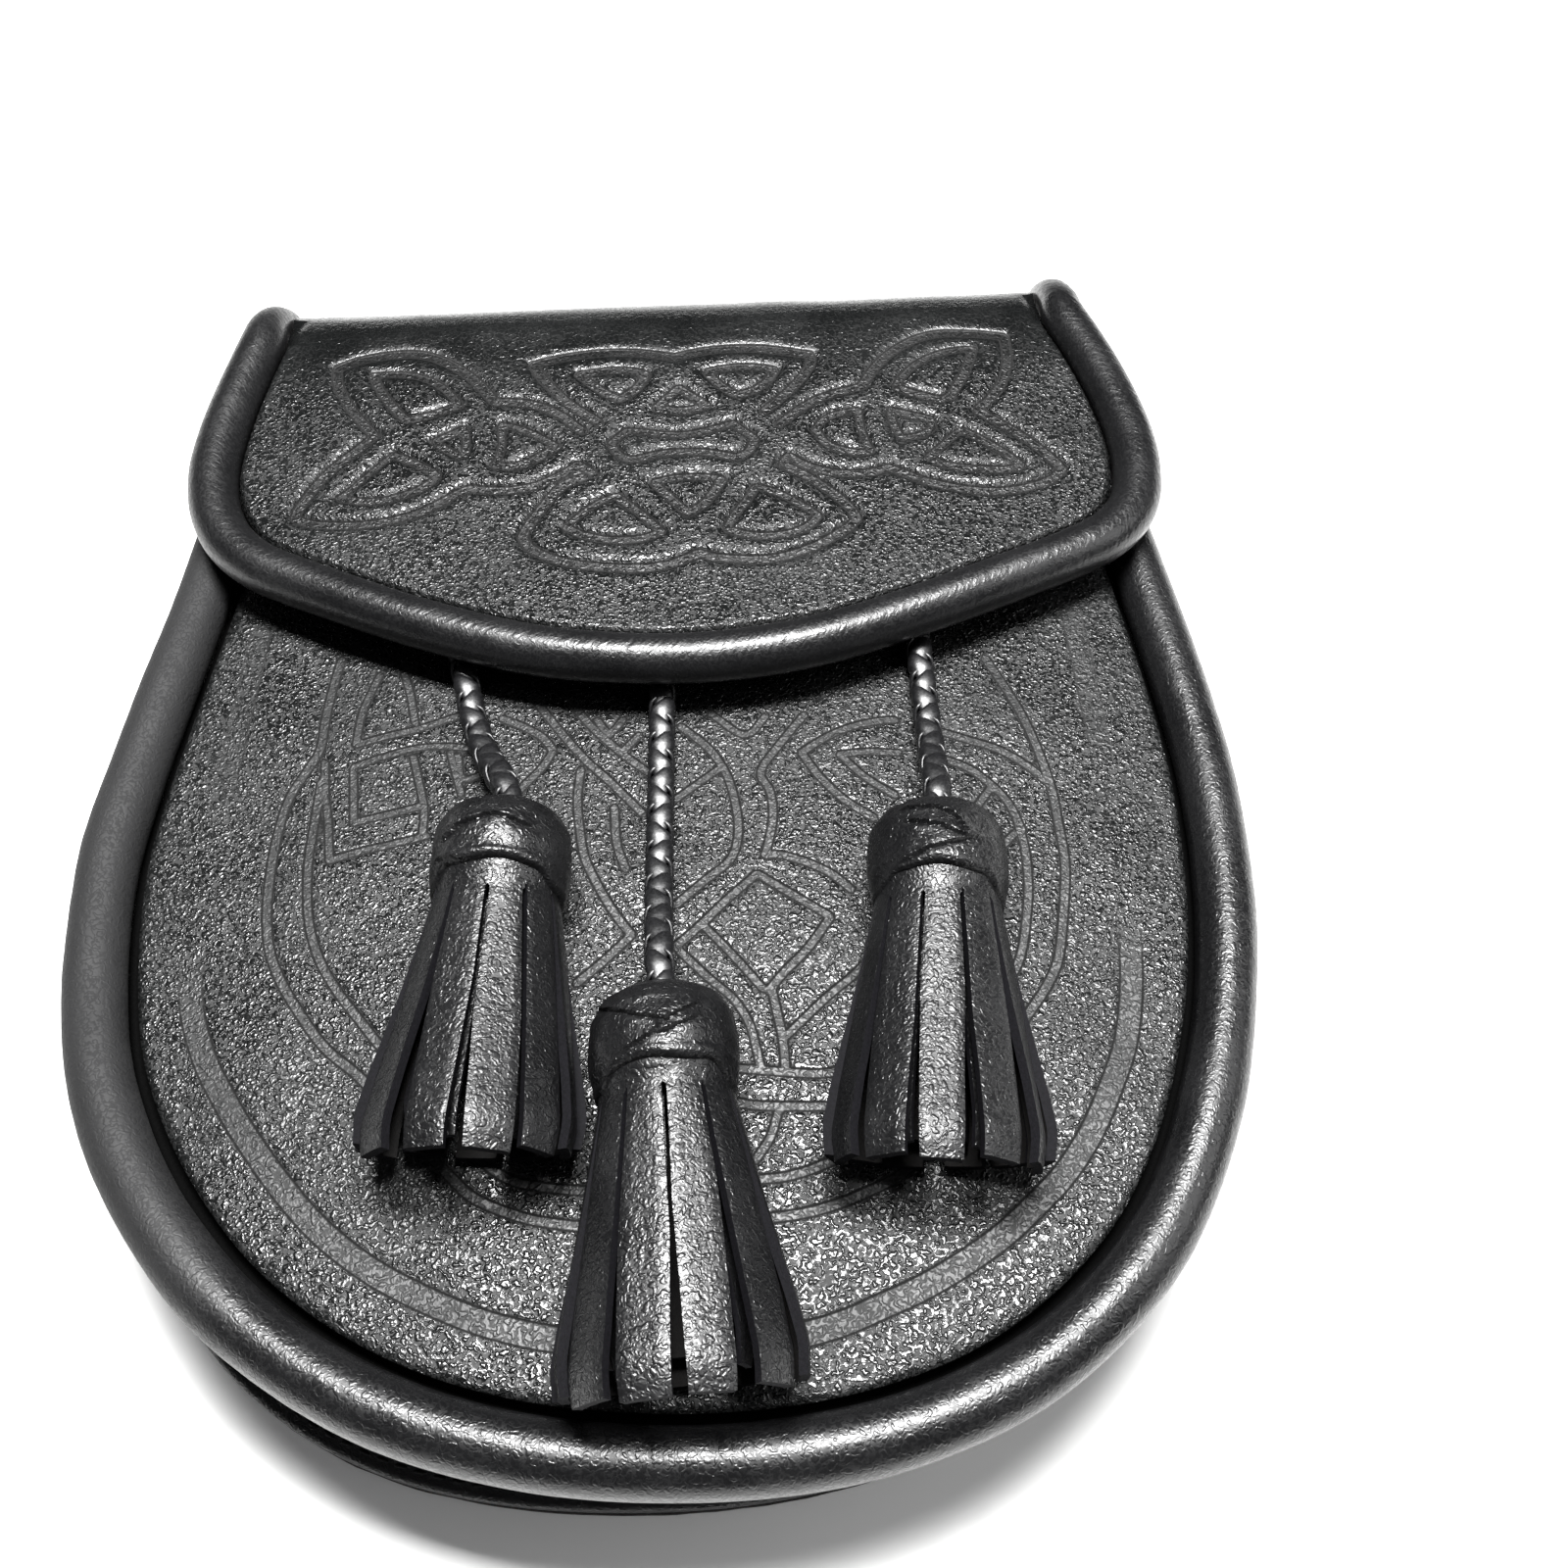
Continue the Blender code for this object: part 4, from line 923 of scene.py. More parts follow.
def make_front():
    """The stamped front panel, with its three punched holes."""
    look = bpy.context.scene.pouch_look
    rim = moved_out(roll_route(BODY_ROWS, BODY_LOWEST, 2.0), -BODY_ROLL_D / 2 - SEAM_GROOVE)
    rim[:, 0] += LEFT_GROOVE * (1 - eased(rim[:, 0], -80.0, -40.0))
    loop = anticlockwise(np.vstack([rim, open_side(rim)]))
    turn = turns(28)
    holes = [np.array(route[0][:2]) + CORD_HOLE_D / 2 * np.stack([np.cos(turn), np.sin(turn)], 1)
             for route in CORD_ROUTES.values()]
    stamp_top = 34  # above it the flap covers the panel, which is left plain
    marks = thinned(channel_marks(FRONT_CHANNELS, (-0.4, -0.14, 0.14), 0.7), 0.2)
    grid = grid_points(loop, look.relief_step_mm * 1.5)
    grid = grid[grid[:, 1] < stamp_top]
    near = channel_distance(grid, FRONT_CHANNELS)
    grid = grid[(near > 0.45) | (near < -0.9)]
    over = grid_points(loop, 2.4)
    points = np.vstack([marks, grid, over[over[:, 1] >= stamp_top + 1]])
    under = grid_points(loop, 5.0)

    def free(points, room):
        """The points on the panel that are at least that far from its rim and its holes."""
        points = points[inside(points, loop)]
        points = points[loop_distance(points, loop) > room]
        for hole in holes:
            points = points[np.linalg.norm(points - hole.mean(0), axis=1) > CORD_HOLE_D / 2 + room]
        return points

    def upper(flat):
        """The grained side's corners. What the material needs of them is kept for the piece's attributes."""
        edge = channel_distance(flat, FRONT_CHANNELS)
        rim_off = loop_distance(flat, loop)
        # The outer band has all but faded where the pouch is handled, on both its sides.
        rubbed = eased(flat[:, 1], -47.0, -30.0) * (1 - 0.5 * eased(flat[:, 1], -6.0, 6.0))
        rubbed *= np.abs(flat[:, 0]) > 74.0
        sunk = -look.front_depth_mm * (1 - eased(edge, -0.14, 0.14)) * (1 - rubbed)
        lip = -0.35 * (1 - eased(rim_off, 0.0, 0.7))
        wavy = 0.16 * lumps(flat, 26.0, 11)
        upper.edge, upper.rubbed = edge, rubbed
        z = FRONT_Z + LEATHER / 2 + sunk + lip + wavy
        return np.column_stack([flat, z])

    corners, faces, index, low_count = slab(
        [loop, *holes], free(points, 0.4), free(under, 2.5), upper,
        lambda flat: np.column_stack([flat, np.full(len(flat), FRONT_Z - LEATHER / 2)]))
    edge = np.concatenate([upper.edge, np.full(low_count, NO_STAMP)])
    # Its cut walls, round the rim and the holes, take the seam material's near-black painted shade.
    made = make_piece("front_panel", corners, faces,
                      [material_of("front"), material_of("flesh"), material_of("seam")],
                      {"edge_mm": edge, "rubbed": np.concatenate([upper.rubbed, np.zeros(low_count)])}, index)
    return dressed(made, "grained_leather", "front_panel")


def roll_radius(line, sides, base, seed):
    """A rolled strip's uneven radius, with soft lumps, at each side of each ring."""
    s, t = np.meshgrid(reach_along(line), turns(sides), indexing="ij")
    spots = np.stack([4 * np.cos(t).ravel(), 4 * np.sin(t).ravel(), s.ravel()], 1)
    uneven = 0.07 * lumps(spots, 30.0, seed) + 0.02 * lumps(spots, 5.0, seed + 1)
    return base.reshape(-1, 1) + uneven.reshape(s.shape)


def make_rolls():
    """The rolls round the body and round the flap, whose ends run over the fold and down its tail."""
    sides = 30
    flat = roll_route(BODY_ROWS, BODY_LOWEST, 0.9)
    line = np.column_stack([flat, np.full(len(flat), FRONT_Z)])
    radius = roll_radius(line, sides, np.full(len(line), BODY_ROLL_D / 2 - ROLL_LUMPS), 21)
    corners, straight = tube_rings(line, radius)
    body = make_piece("body_roll", corners, ring_faces(len(line), sides), [material_of("body")],
                      {"straight": straight})
    dressed(body, "smooth_leather", "body_roll")

    sides = 28
    y, z, _, _ = fold_line(13)
    # The roll grows thinner over the fold's first three rows, and its outer side keeps its place.
    ease = np.minimum(1.0, np.arange(len(y)) / 3)
    drawn = FLAP_ROLL_D / 2 * (1 - FOLD_ROLL_SHARE)
    route = roll_route(FLAP_ROWS, FLAP_LOWEST, 9.0)
    left = np.column_stack([route[0, 0] + drawn * ease, y, z])[::-1]
    right = np.column_stack([route[-1, 0] - drawn * ease, y, z])
    middle = np.column_stack([route[1:-1], np.full(len(route) - 2, FLAP_Z)])
    thinner = 1 - (1 - FOLD_ROLL_SHARE) * ease
    # The share of the full radius is smoothed along with the places, as lengths of up to 20 mm.
    shares = 20 * np.concatenate([thinner[::-1], np.ones(len(middle)), thinner])
    whole = smooth_line(np.column_stack([np.vstack([left, middle, right]), shares]), 0.9)
    line, share = whole[:, :3], whole[:, 3] / 20
    radius = roll_radius(line, sides, (FLAP_ROLL_D / 2 - ROLL_LUMPS) * share, 31)
    corners, straight = tube_rings(line, radius)
    flap = make_piece("flap_roll", corners, ring_faces(len(line), sides), [material_of("roll")],
                      {"straight": straight})
    return dressed(flap, "smooth_leather", "flap_roll")


def foot_shift(flat):
    """How far the soft pouch has slumped at its foot: a little left, and most towards its lower left."""
    bearing = np.arctan2(-flat[:, 1] - 20.0, -flat[:, 0])
    slump = SLUMP * np.exp(-(((bearing - math.radians(54)) / 0.5) ** 2))
    return np.stack([LEAN_X - 0.72 * slump, -0.69 * slump], 1)


def foot_line(spacing, inwards=0.0):
    """The back's edge, or the line that far inside it."""
    line = moved_out(roll_route(BODY_ROWS, BODY_LOWEST, spacing), BODY_ROLL_D / 2 - BACK_INSET - inwards)
    return line + foot_shift(line)


def make_back():
    """The back panel, and the gusset that joins it to the front's roll."""
    rim = foot_line(2.0)
    rim = rim + 0.08 * np.stack([lumps(rim, 5.0, 41), lumps(rim, 5.0, 42)], 1)
    loop = anticlockwise(np.vstack([rim, open_side(rim)]))
    points = grid_points(loop, 3.0)
    points = points[inside(points, loop)]
    points = points[loop_distance(points, loop) > 0.8]
    band = np.vstack([foot_line(1.5, inwards) for inwards in (0.5, 1.2, 2.2)])
    band = band[inside(band, loop)]
    band = band[loop_distance(band, loop) > 0.3]
    points = np.vstack([band, points[loop_distance(points, loop) > 3.5]])

    def face(flat, up):
        """The corners of the back's upper or lower face, with its rim rounded off."""
        rim_off = loop_distance(flat, loop)
        round_off = 0.5 * (1 - eased(rim_off, 0.0, 1.0))
        z = back_z(flat[:, 1]) + (LEATHER if up else 0.0) + (-round_off if up else round_off)
        return np.column_stack([flat, z + (0.15 * lumps(flat, 30.0, 5) if not up else 0.0) * eased(rim_off, 8, 20)])

    corners, faces, index, _ = slab([loop], points, points, lambda f: face(f, True), lambda f: face(f, False))
    # The sheet's finished face is its lower one, which rests against the wearer.
    finish = np.array([1, 0, 2])[index]
    made = make_piece("back_panel", corners, faces, [material_of("smooth"), material_of("flesh"), material_of("edge")],
                      None, finish)
    dressed(made, "smooth_leather", "back_panel")

    flat = roll_route(BODY_ROWS, BODY_LOWEST, 3.0)
    top_z = FRONT_Z - LEATHER / 2 - GAP
    foot = LEATHER + GAP
    # Distance outwards, share of the height from foot to top, lift over that.
    profile = (
        (-6.6, 0.0, 0.0), (-6.6, 0.0, 1.4), (-6.2, 0.03, 1.9), (-5.6, 0.25, 0.0), (-5.7, 0.5, 0.0),
        (-6.1, 0.75, 0.0), (-9.4, 1.0, 0.0), (-7.4, 1.0, 0.0), (-6.7, 1.0, -1.5), (-5.4, 1.0, -1.6),
        (-4.5, 1.0, -1.4), (-3.4, 1.0, -2.6), (-2.2, 1.0, -3.4), (-1.7, 1.0, -4.2), (-2.7, 0.75, 0.0), (-3.3, 0.5, 0.0),
        (-3.6, 0.22, 0.0), (-3.5, 0.06, 1.7), (-2.6, 0.0, 2.2), (0.6, 0.0, 1.9), (1.5, 0.0, 1.6), (1.6, 0.0, 0.4),
        (1.2, 0.0, 0.0),
    )
    rings = []
    spots = np.column_stack([flat, np.zeros(len(flat))])
    for out, share, lift in profile:
        sag = 0.5 * lumps(spots + (0, 0, 40 * share), 24.0, 9) * math.sin(math.pi * share)
        row = moved_out(flat, out) + sag[:, None] * (moved_out(flat, 1.0) - flat)
        foot_z = back_z(row[:, 1]) + foot
        rings.append(np.column_stack([row + foot_shift(row) * (1 - share), foot_z + (top_z - foot_z) * share + lift]))
    corners = np.stack(rings, 1).reshape(-1, 3)
    faces = ring_faces(len(flat), len(profile))
    # Its ledge under the roll, rows 5 to 12, lies in the groove's shade, which is painted on it with the near-black
    # seam material.
    ledge = [int(5 <= number % len(profile) < 13) for number in range(len(faces))]
    gusset = make_piece("gusset", corners, faces, [material_of("smooth"), material_of("seam")], None, ledge)
    return dressed(gusset, "smooth_leather", "gusset")


def section_at(along, length, end_half):
    """A tassel's half width, half height and axis height at a distance from its crown."""
    table = np.array(TASSEL_SECTIONS)
    share = np.maximum(0.0, (table[:, 0] - SKIRT_START) / (table[-1, 0] - SKIRT_START))
    at = table[:, 0] + (length - table[-1, 0]) * share
    wide = table[:, 1] + (end_half - table[-1, 1]) * share
    return [np.interp(along, at, column) for column in (wide, table[:, 2], table[:, 3])]


# Folds on each tassel's head, seen from above: mm to the right of its middle and mm from its crown.
HEAD_FOLDS = {
    "left": (((-8.4, 10.0), (-5.5, 8.0), (0.2, 6.6), (5.7, 8.0)), ((-9.5, 13.2), (-4.0, 14.2), (0.0, 14.2))),
    "middle": (((-11.3, 4.0), (-6.1, 6.4), (-3.1, 7.9), (0.9, 9.2)),
               ((-5.7, 13.0), (-1.6, 11.2), (0.9, 9.2), (5.3, 6.6)), ((0.3, 11.0), (5.3, 8.6))),
    "right": (((-6.5, 4.4), (-1.2, 5.0), (1.7, 6.6), (3.6, 9.7)), ((-5.2, 7.2), (-1.2, 8.3), (3.3, 10.4)),
              ((-6.1, 14.0), (-1.2, 12.2), (3.3, 10.7), (5.4, 9.6))),
}
# Where the wrap of the head ends over the skirt, in front.
HEAD_EDGE = {"left": 14.0, "middle": 14.2, "right": 14.6}


def skirt_at(along, length, end_half):
    """The skirt's outline: as the tassel's, but tucked in under the wrap of its head."""
    wide, high, axis = section_at(along, length, end_half)
    tuck = 0.95 * (1 - eased(along, 13.0, SKIRT_START + 1.5))
    return wide - tuck, high - tuck, axis


STRIP_SIDES = 18  # corners round a strip: nine over its outer face and nine back under it


def strip_kinds(count):
    """The material of each of a strip's faces: 0 on its outer face, 1 where it is cut and 2 on its inner face."""
    kinds = [0 if number % STRIP_SIDES < 8 else 2 for number in range(count)]
    for number in range(count):
        if number % STRIP_SIDES in (8, 17) or number >= count - 2:
            kinds[number] = 1
    return kinds


def make_tassel(side, x, y, turn_deg, length, end_half):
    """A wrapped head over two rows of cut strips, built with its crown at the middle and then laid in place."""
    look = bpy.context.scene.pouch_look
    rng = np.random.default_rng({"left": 5, "middle": 6, "right": 7}[side])
    corners, faces, index = [], [], []
    first = 0

    def take(rings, sides, kinds):
        """Add a part made of rings with that many sides."""
        nonlocal first
        part = ring_faces(len(rings) // sides, sides)
        corners.append(rings)
        faces.extend([[v + first for v in f] for f in part])
        index.extend(kinds(len(part)))
        first += len(rings)

    # The head: leather drawn round the cord and wrapped over itself, with its edge lying on the skirt.
    sides = 132
    along = np.concatenate([np.linspace(0.0, 3.0, 16), np.linspace(3.2, 17.8, 68)])
    wide, high, axis = section_at(along, length, end_half)
    turn = turns(sides)
    s, t = np.meshgrid(along, turn, indexing="ij")
    spots = np.stack([9 * np.cos(t).ravel(), 9 * np.sin(t).ravel(), s.ravel()], 1)
    grow = (0.22 * lumps(spots, 11.0, 51 + len(side)) + 0.1 * lumps(spots, 3.2, 57)).reshape(s.shape)
    # Each corner's way round the head, in mm to the right of its middle line in front.
    head_r = 11.0
    beside = head_r * (math.pi / 2 - t)
    beside = np.where(beside < -head_r * math.pi, beside + 2 * head_r * math.pi, beside)
    for fold in HEAD_FOLDS[side]:
        fold = np.array(fold)
        over = np.interp(beside, fold[:, 0], fold[:, 1]) - s
        start, end = fold[0, 0], fold[-1, 0]
        fade = eased(beside, start - 1.5, start + 0.5) * (1 - eased(beside, end - 0.5, end + 1.5))
        grow += fade * eased(over, -0.15, 0.15) * 0.65 * np.exp(-np.abs(over) / 2.2)
        grow -= fade * 0.35 * np.exp(-(((over + 0.2) / 0.25) ** 2))
    edge = HEAD_EDGE[side] + 2.6 * eased(np.abs(beside), 7.5, 13.0) + 0.25 * np.sin(0.5 * beside + len(side))
    grow -= 3.0 * eased(s, edge, edge + 0.5) - 0.3 * np.exp(-(((s - edge + 0.6) / 0.7) ** 2))
    wide, high = wide[:, None] + grow, high[:, None] + grow
    head = np.stack([wide * np.cos(t), -s, axis[:, None] + high * np.sin(t)], -1)
    take(head.reshape(-1, 3), sides, lambda count: [0] * count)

    # The skirt, cut into strips: an outer row on its outline and a shorter one inside it.
    for count, scale, short in ((look.strips, 1.0, 0.0), (9, 0.62, 3.0)):
        for k in range(count):
            phi_0 = math.pi * (0.5 + (2 * k + (side != "right")) / count)
            end = length + 2.4 * math.sin(phi_0) - rng.uniform(0.0, 0.9) - short
            slit = HEAD_EDGE[side] + rng.uniform(2.6, 4.2)
            steps = np.concatenate([np.linspace(10.0, slit, 5), np.linspace(slit + 0.5, end, 26)])
            wide, high, axis = skirt_at(steps, length, end_half)
            share = eased(steps, slit + 2, length)
            phi = phi_0 + rng.uniform(-0.05, 0.05) * share
            speed = np.hypot(wide * np.sin(phi), high * np.cos(phi))  # mm of the outline for each radian
            widest = math.pi / count
            slim = (speed * 2 * widest - look.slit_mm * rng.uniform(0.8, 1.2)) / 2 / speed
            cut = np.minimum(look.strip_width_mm * rng.uniform(0.93, 1.07) / 2 / speed, slim)
            half = 1.004 * widest + (cut - 1.004 * widest) * eased(steps, slit, slit + 0.6)
            lean = share * (rng.uniform(-0.45, 0.45) + 0.75 * np.cos(phi))
            lift = share * rng.uniform(-0.5, 0.3)
            curl = 1.3 * eased(steps, end - 5.0, end + 1.0)
            flatness = 0.9 * eased(steps, slit, slit + 8)
            ring = []
            for u, deep in [(u, 0.0) for u in np.linspace(-1, 1, 9)] + [(u, 1.0) for u in np.linspace(1, -1, 9)]:
                at = phi + u * half
                a, b = (wide - deep * look.strip_thick_mm) * scale, (high - deep * look.strip_thick_mm) * scale
                normal = np.stack([np.cos(at) / wide, np.sin(at) / high], 1)
                normal /= np.linalg.norm(normal, axis=1)[:, None]
                out = lean * u - curl + lift + flatness * ((half * u) ** 2 * wide * high / speed / 2 - 0.3 * u**8)
                ring.append(np.stack([a * np.cos(at) + out * normal[:, 0], -steps,
                                      axis + b * np.sin(at) + out * normal[:, 1]], 1))
            take(np.stack(ring, 1).reshape(-1, 3), STRIP_SIDES, strip_kinds)
    at = np.vstack(corners)
    c, s = math.cos(math.radians(turn_deg)), math.sin(math.radians(turn_deg))
    at = np.column_stack([x + at[:, 0] * c - at[:, 1] * s, y + at[:, 0] * s + at[:, 1] * c,
                          FRONT_Z + LEATHER / 2 + at[:, 2]])
    made = make_piece(f"tassel_{side}", at, faces,
                      [material_of("tassel"), material_of("strip_edge"), material_of("flesh")], None, index)
    return dressed(creased(made), "smooth_leather", f"tassel_{side}")


def make_cord(side):
    """A round braid of four laces, which cross over and under each other."""
    look = bpy.context.scene.pouch_look
    line = smooth_line(CORD_ROUTES[side], 0.5)
    _, across, third = frames_along(line, (1, 0, 0))
    reach = reach_along(line)
    size = look.cord_mm / 5.2  # the sizes below are those of a braid 5.2 mm thick over its crossings
    corners, faces, first = [], [], 0
    sides = 14
    round_it = turns(sides)
    pitch = 2 * math.pi / look.braid_lay_mm
    mean = 1.9 * size
    steep = math.atan(mean * pitch)
    for way in (1, -1):
        for start in (0.0, math.pi):
            # Each corner of a lace lies on the cord's round surface, beside the lace's own path.
            aside = 2.0 * size * np.cos(round_it)[None, :]
            at = np.clip(reach[:, None] - way * math.sin(steep) * aside, 0.0, reach[-1])
            angle = way * pitch * reach[:, None] + start + math.pi / 4 + math.cos(steep) * aside / mean
            # The lace lies over one crossing and under the next, and the braid is a little square.
            wave = np.tanh(1.3 * np.cos(2 * pitch * at)) / math.tanh(1.3)
            flat_front = (np.abs(np.cos(angle)) ** 4 + np.abs(np.sin(angle)) ** 4) ** (-1 / 4)
            thick = 0.45 * np.sign(np.sin(round_it)) * np.abs(np.sin(round_it)) ** 0.4
            radius = size * ((1.72 + way * 0.3 * wave) * flat_front + thick[None, :])
            middle, right, front = [np.stack([np.interp(at, reach, column) for column in table.T], -1)
                                    for table in (line, across, third)]
            out = np.cos(angle)[..., None] * right + np.sin(angle)[..., None] * front
            corners.append((middle + radius[..., None] * out).reshape(-1, 3))
            faces += [[v + first for v in f[::-1]] for f in ring_faces(len(line), sides)]
            first += len(line) * sides
    made = make_piece(f"cord_{side}", np.vstack(corners), faces, [material_of("braid")])
    return dressed(made, "braided_cord", f"cord_{side}")


def declare_cord(side, cord, tassel):
    """Works out the cord's path in the frame, and does nothing with it. The cord and the tassel are not used."""
    path = (smooth_line(CORD_ROUTES[side], 2.4) + PLACE) * MM


def make_knot(side):
    """The cord's stopper knot: a trefoil of the braid drawn tight under the panel."""
    x, y, _ = CORD_ROUTES[side][0]
    t = turns(90)
    half_high, lace_r = 2.25, 1.25
    z_mid = FRONT_Z - LEATHER / 2 - GAP - half_high
    wide = 1.9 + 0.75 * np.cos(3 * t)
    line = np.stack([x + wide * np.cos(2 * t), y + wide * np.sin(2 * t), z_mid + 0.9 * np.sin(3 * t)], 1)
    closed = np.vstack([line[-1:], line, line[:1]])
    along = (closed[2:] - closed[:-2]) / np.linalg.norm(closed[2:] - closed[:-2], axis=1)[:, None]
    side_way = np.cross(along, (0, 0, 1.0))
    side_way /= np.linalg.norm(side_way, axis=1)[:, None]
    third = np.cross(along, side_way)
    turn = turns(10)
    rings = line[:, None] + lace_r * (np.cos(turn)[None, :, None] * side_way[:, None]
                                      + np.sin(turn)[None, :, None] * third[:, None])
    made = make_piece(f"knot_{side}", rings.reshape(-1, 3), ring_faces(len(line), 10, True), [material_of("braid")])
    return dressed(made, "braided_cord", f"knot_{side}")


def make_ring(name, way):
    """A D ring of round wire: a straight bar in its keeper and a bow towards the pouch's side."""
    turn = np.linspace(math.pi / 2, -math.pi / 2, 31)
    bow = np.stack([1.0 + 13.0 * np.cos(turn), 10.0 * np.sin(turn)], 1)
    bar = np.array([(0.0, -7.0), (0.0, 0.0), (0.0, 7.0)])
    loop = smooth_line(np.vstack([bar, bow, bar[:2]]), 0.8)
    # The curve's two ends overlap on the bar, and are cut there.
    start = int(np.argmin(np.linalg.norm(loop[: len(loop) // 3] - (0.0, -3.0), axis=1)))
    end = len(loop) - 1 - int(np.argmin(np.linalg.norm(loop[::-1][: len(loop) // 3] - (0.0, -3.8), axis=1)))
    loop = loop[start:end]
    line = np.column_stack([RING_AT[0] * way + loop[:, 0] * way, RING_AT[1] + loop[:, 1] * way,
                            np.full(len(loop), RING_MIDDLE_Z)])
    ahead = np.roll(line, -1, axis=0) - np.roll(line, 1, axis=0)
    ahead /= np.linalg.norm(ahead, axis=1)[:, None]
    beside = np.cross(ahead, (0, 0, 1.0))
    turn = turns(18)
    rings = line[:, None] + RING_WIRE_R * (np.cos(turn)[None, :, None] * beside[:, None]
                                           + np.sin(turn)[None, :, None] * np.array((0, 0, -1.0)))
    made = make_piece(name, rings.reshape(-1, 3), ring_faces(len(line), 18, True), [material_of("steel")])
    return dressed(made, "nickel_steel", name)


def make_keeper(name, way):
    """A leather tab folded round the ring's bar, its two ends sewn under the back panel."""
    room = 0.25
    inner = RING_WIRE_R + room
    outer = inner + KEEPER_LEATHER
    neck = -1.2 * outer  # behind it the two layers lie together, a hair apart
    top, bottom = inner - 0.1, inner - 0.1 - KEEPER_LEATHER
    turn = np.radians(90.0 - 240.0 * (1 - np.linspace(0, 1, 25)))
    outside = [(x, bottom) for x in np.linspace(-KEEPER_LENGTH, neck, 8)]
    outside += [(outer * math.cos(a), outer * math.sin(a)) for a in turn]
    outside += [(x, outer) for x in np.linspace(-2.0, -KEEPER_LENGTH, 8)]
    inside_line = [(-KEEPER_LENGTH, inner), (neck, inner)]
    inside_line += [(inner * math.cos(a), inner * math.sin(a)) for a in turn[::-1]]
    inside_line += [(neck, top), (-KEEPER_LENGTH, top)]
    section = np.array(outside + inside_line)
    rows = np.array([-1, -0.96, -0.8, -0.4, 0.0, 0.4, 0.8, 0.96, 1]) * KEEPER_WIDTH / 2
    pinch = np.array([0.25, 0.05, 0, 0, 0, 0, 0, 0.05, 0.25])
    rings = []
    for row, thin in zip(rows, pinch):
        x = RING_AT[0] * way + section[:, 0] * way
        z = RING_MIDDLE_Z + section[:, 1] * (1 - thin * 0.12)
        rings.append(np.column_stack([x, np.full(len(x), RING_AT[1] + row * way), z]))
    corners = np.stack(rings, 0).reshape(-1, 3)
    faces = [f[::-1] for f in ring_faces(len(rows), len(section))]
    made = make_piece(name, corners, faces, [material_of("smooth")])
    return dressed(creased(made), "smooth_leather", name)


# ---------------------------------------------------------------- the add-on


class PouchLook(bpy.types.PropertyGroup):
    """Sizes and colours that change how the pouch looks."""

    # The real pebbles are about 0.55 mm wide, which is too fine to show in the render: they are drawn coarser.
    grain_mm: FloatProperty(name="Grain Size", description="Width of one pebble of the grain, in millimetres",
                            default=0.8, min=0.3, max=3.0)
    grain_depth_mm: FloatProperty(name="Grain Depth", description="Depth of the grain, in millimetres",
                                  default=0.1, min=0.0, max=0.5)
    relief_step_mm: FloatProperty(name="Relief Step", description="Spacing of the corners that carry the stamp",
                                  default=0.75, min=0.4, max=2.0)
    flap_depth_mm: FloatProperty(name="Flap Stamp Depth", description="Depth of the flap's channels",
                                 default=0.8, min=0.1, max=1.5)
    front_depth_mm: FloatProperty(name="Front Stamp Depth", description="Depth of the front's channels",
                                  default=0.12, min=0.05, max=1.0)
    cord_mm: FloatProperty(name="Cord Diameter", description="Diameter of the tassel cords, in millimetres",
                           default=5.2, min=3.0, max=6.0)
    braid_lay_mm: FloatProperty(name="Braid Lay", description="Length of one whole turn of a lace round the cord",
                                default=15.0, min=4.0, max=30.0)
    strips: IntProperty(name="Strips", description="Number of cut strips round a tassel", default=11, min=6, max=24)
    slit_mm: FloatProperty(name="Slit Width", description="Least width of the slits between the strips", default=0.8,
                           min=0.2, max=3.0)
    strip_width_mm: FloatProperty(name="Strip Width", description="Width of one cut strip of a tassel",
                                  default=7.0, min=2.0, max=9.0)
    strip_thick_mm: FloatProperty(name="Strip Thickness", description="Thickness of a cut strip",
                                  default=1.5, min=0.5, max=3.0)
    seam_pitch_mm: FloatProperty(name="Seam Pitch", description="Distance between the holes of the flap's seam",
                                 default=2.4, min=1.0, max=6.0)
    floor_metres: FloatProperty(name="Floor Size", description="Length of the floor's side", default=6.0,
                                min=1.0, unit="LENGTH")
    world_colour: FloatVectorProperty(name="Surround", description="Colour of the studio's surround", size=3,
                                      subtype="COLOR", default=(0.95, 0.96, 1.0), min=0.0, max=1.0)
    world_light: FloatProperty(name="Surround Light", description="Strength of the surround's light", default=0.05,
                               min=0.0, max=3.0)
    key_watts: FloatProperty(name="Key Light", description="Power of the light above", default=22.0,
                             min=0.0, unit="POWER")


class POUCH_OT_camera(bpy.types.Operator):
    """Set the camera at the viewing angle"""

    bl_idname = "pouch.camera"
    bl_label = "Camera"

    def execute(self, context):
        # The place and the lens were solved from the photo.
        data = bpy.data.cameras.new("camera")
        data.sensor_width, data.lens = 36.0, 36.25
        data.clip_start = 0.01
        camera = bpy.data.objects.new("camera", data)
        camera.location = (0.01413, -0.15363, 0.27273)
        camera.rotation_euler = (math.radians(32.0), 0.0, math.radians(-3.0))
        context.scene.collection.objects.link(camera)
        context.scene.camera = camera
        return {"FINISHED"}


class POUCH_OT_tassels(bpy.types.Operator):
    """Braid the three cords, and hang the tassels on them"""

    bl_idname = "pouch.tassels"
    bl_label = "Cords and Tassels"

    def execute(self, context):
        for side, *sizes in TASSELS:
            cord, tassel = make_cord(side), make_tassel(side, *sizes)
            make_knot(side)
            declare_cord(side, cord, tassel)
        return {"FINISHED"}


class POUCH_OT_flap(bpy.types.Operator):
    """Stamp the flap and lay it over the fold"""

    bl_idname = "pouch.flap"
    bl_label = "Flap"

    def execute(self, context):
        make_flap()
        return {"FINISHED"}


class POUCH_OT_front(bpy.types.Operator):
    """Stamp the front panel"""

    bl_idname = "pouch.front"
    bl_label = "Front Panel"

    def execute(self, context):
        make_front()
        return {"FINISHED"}


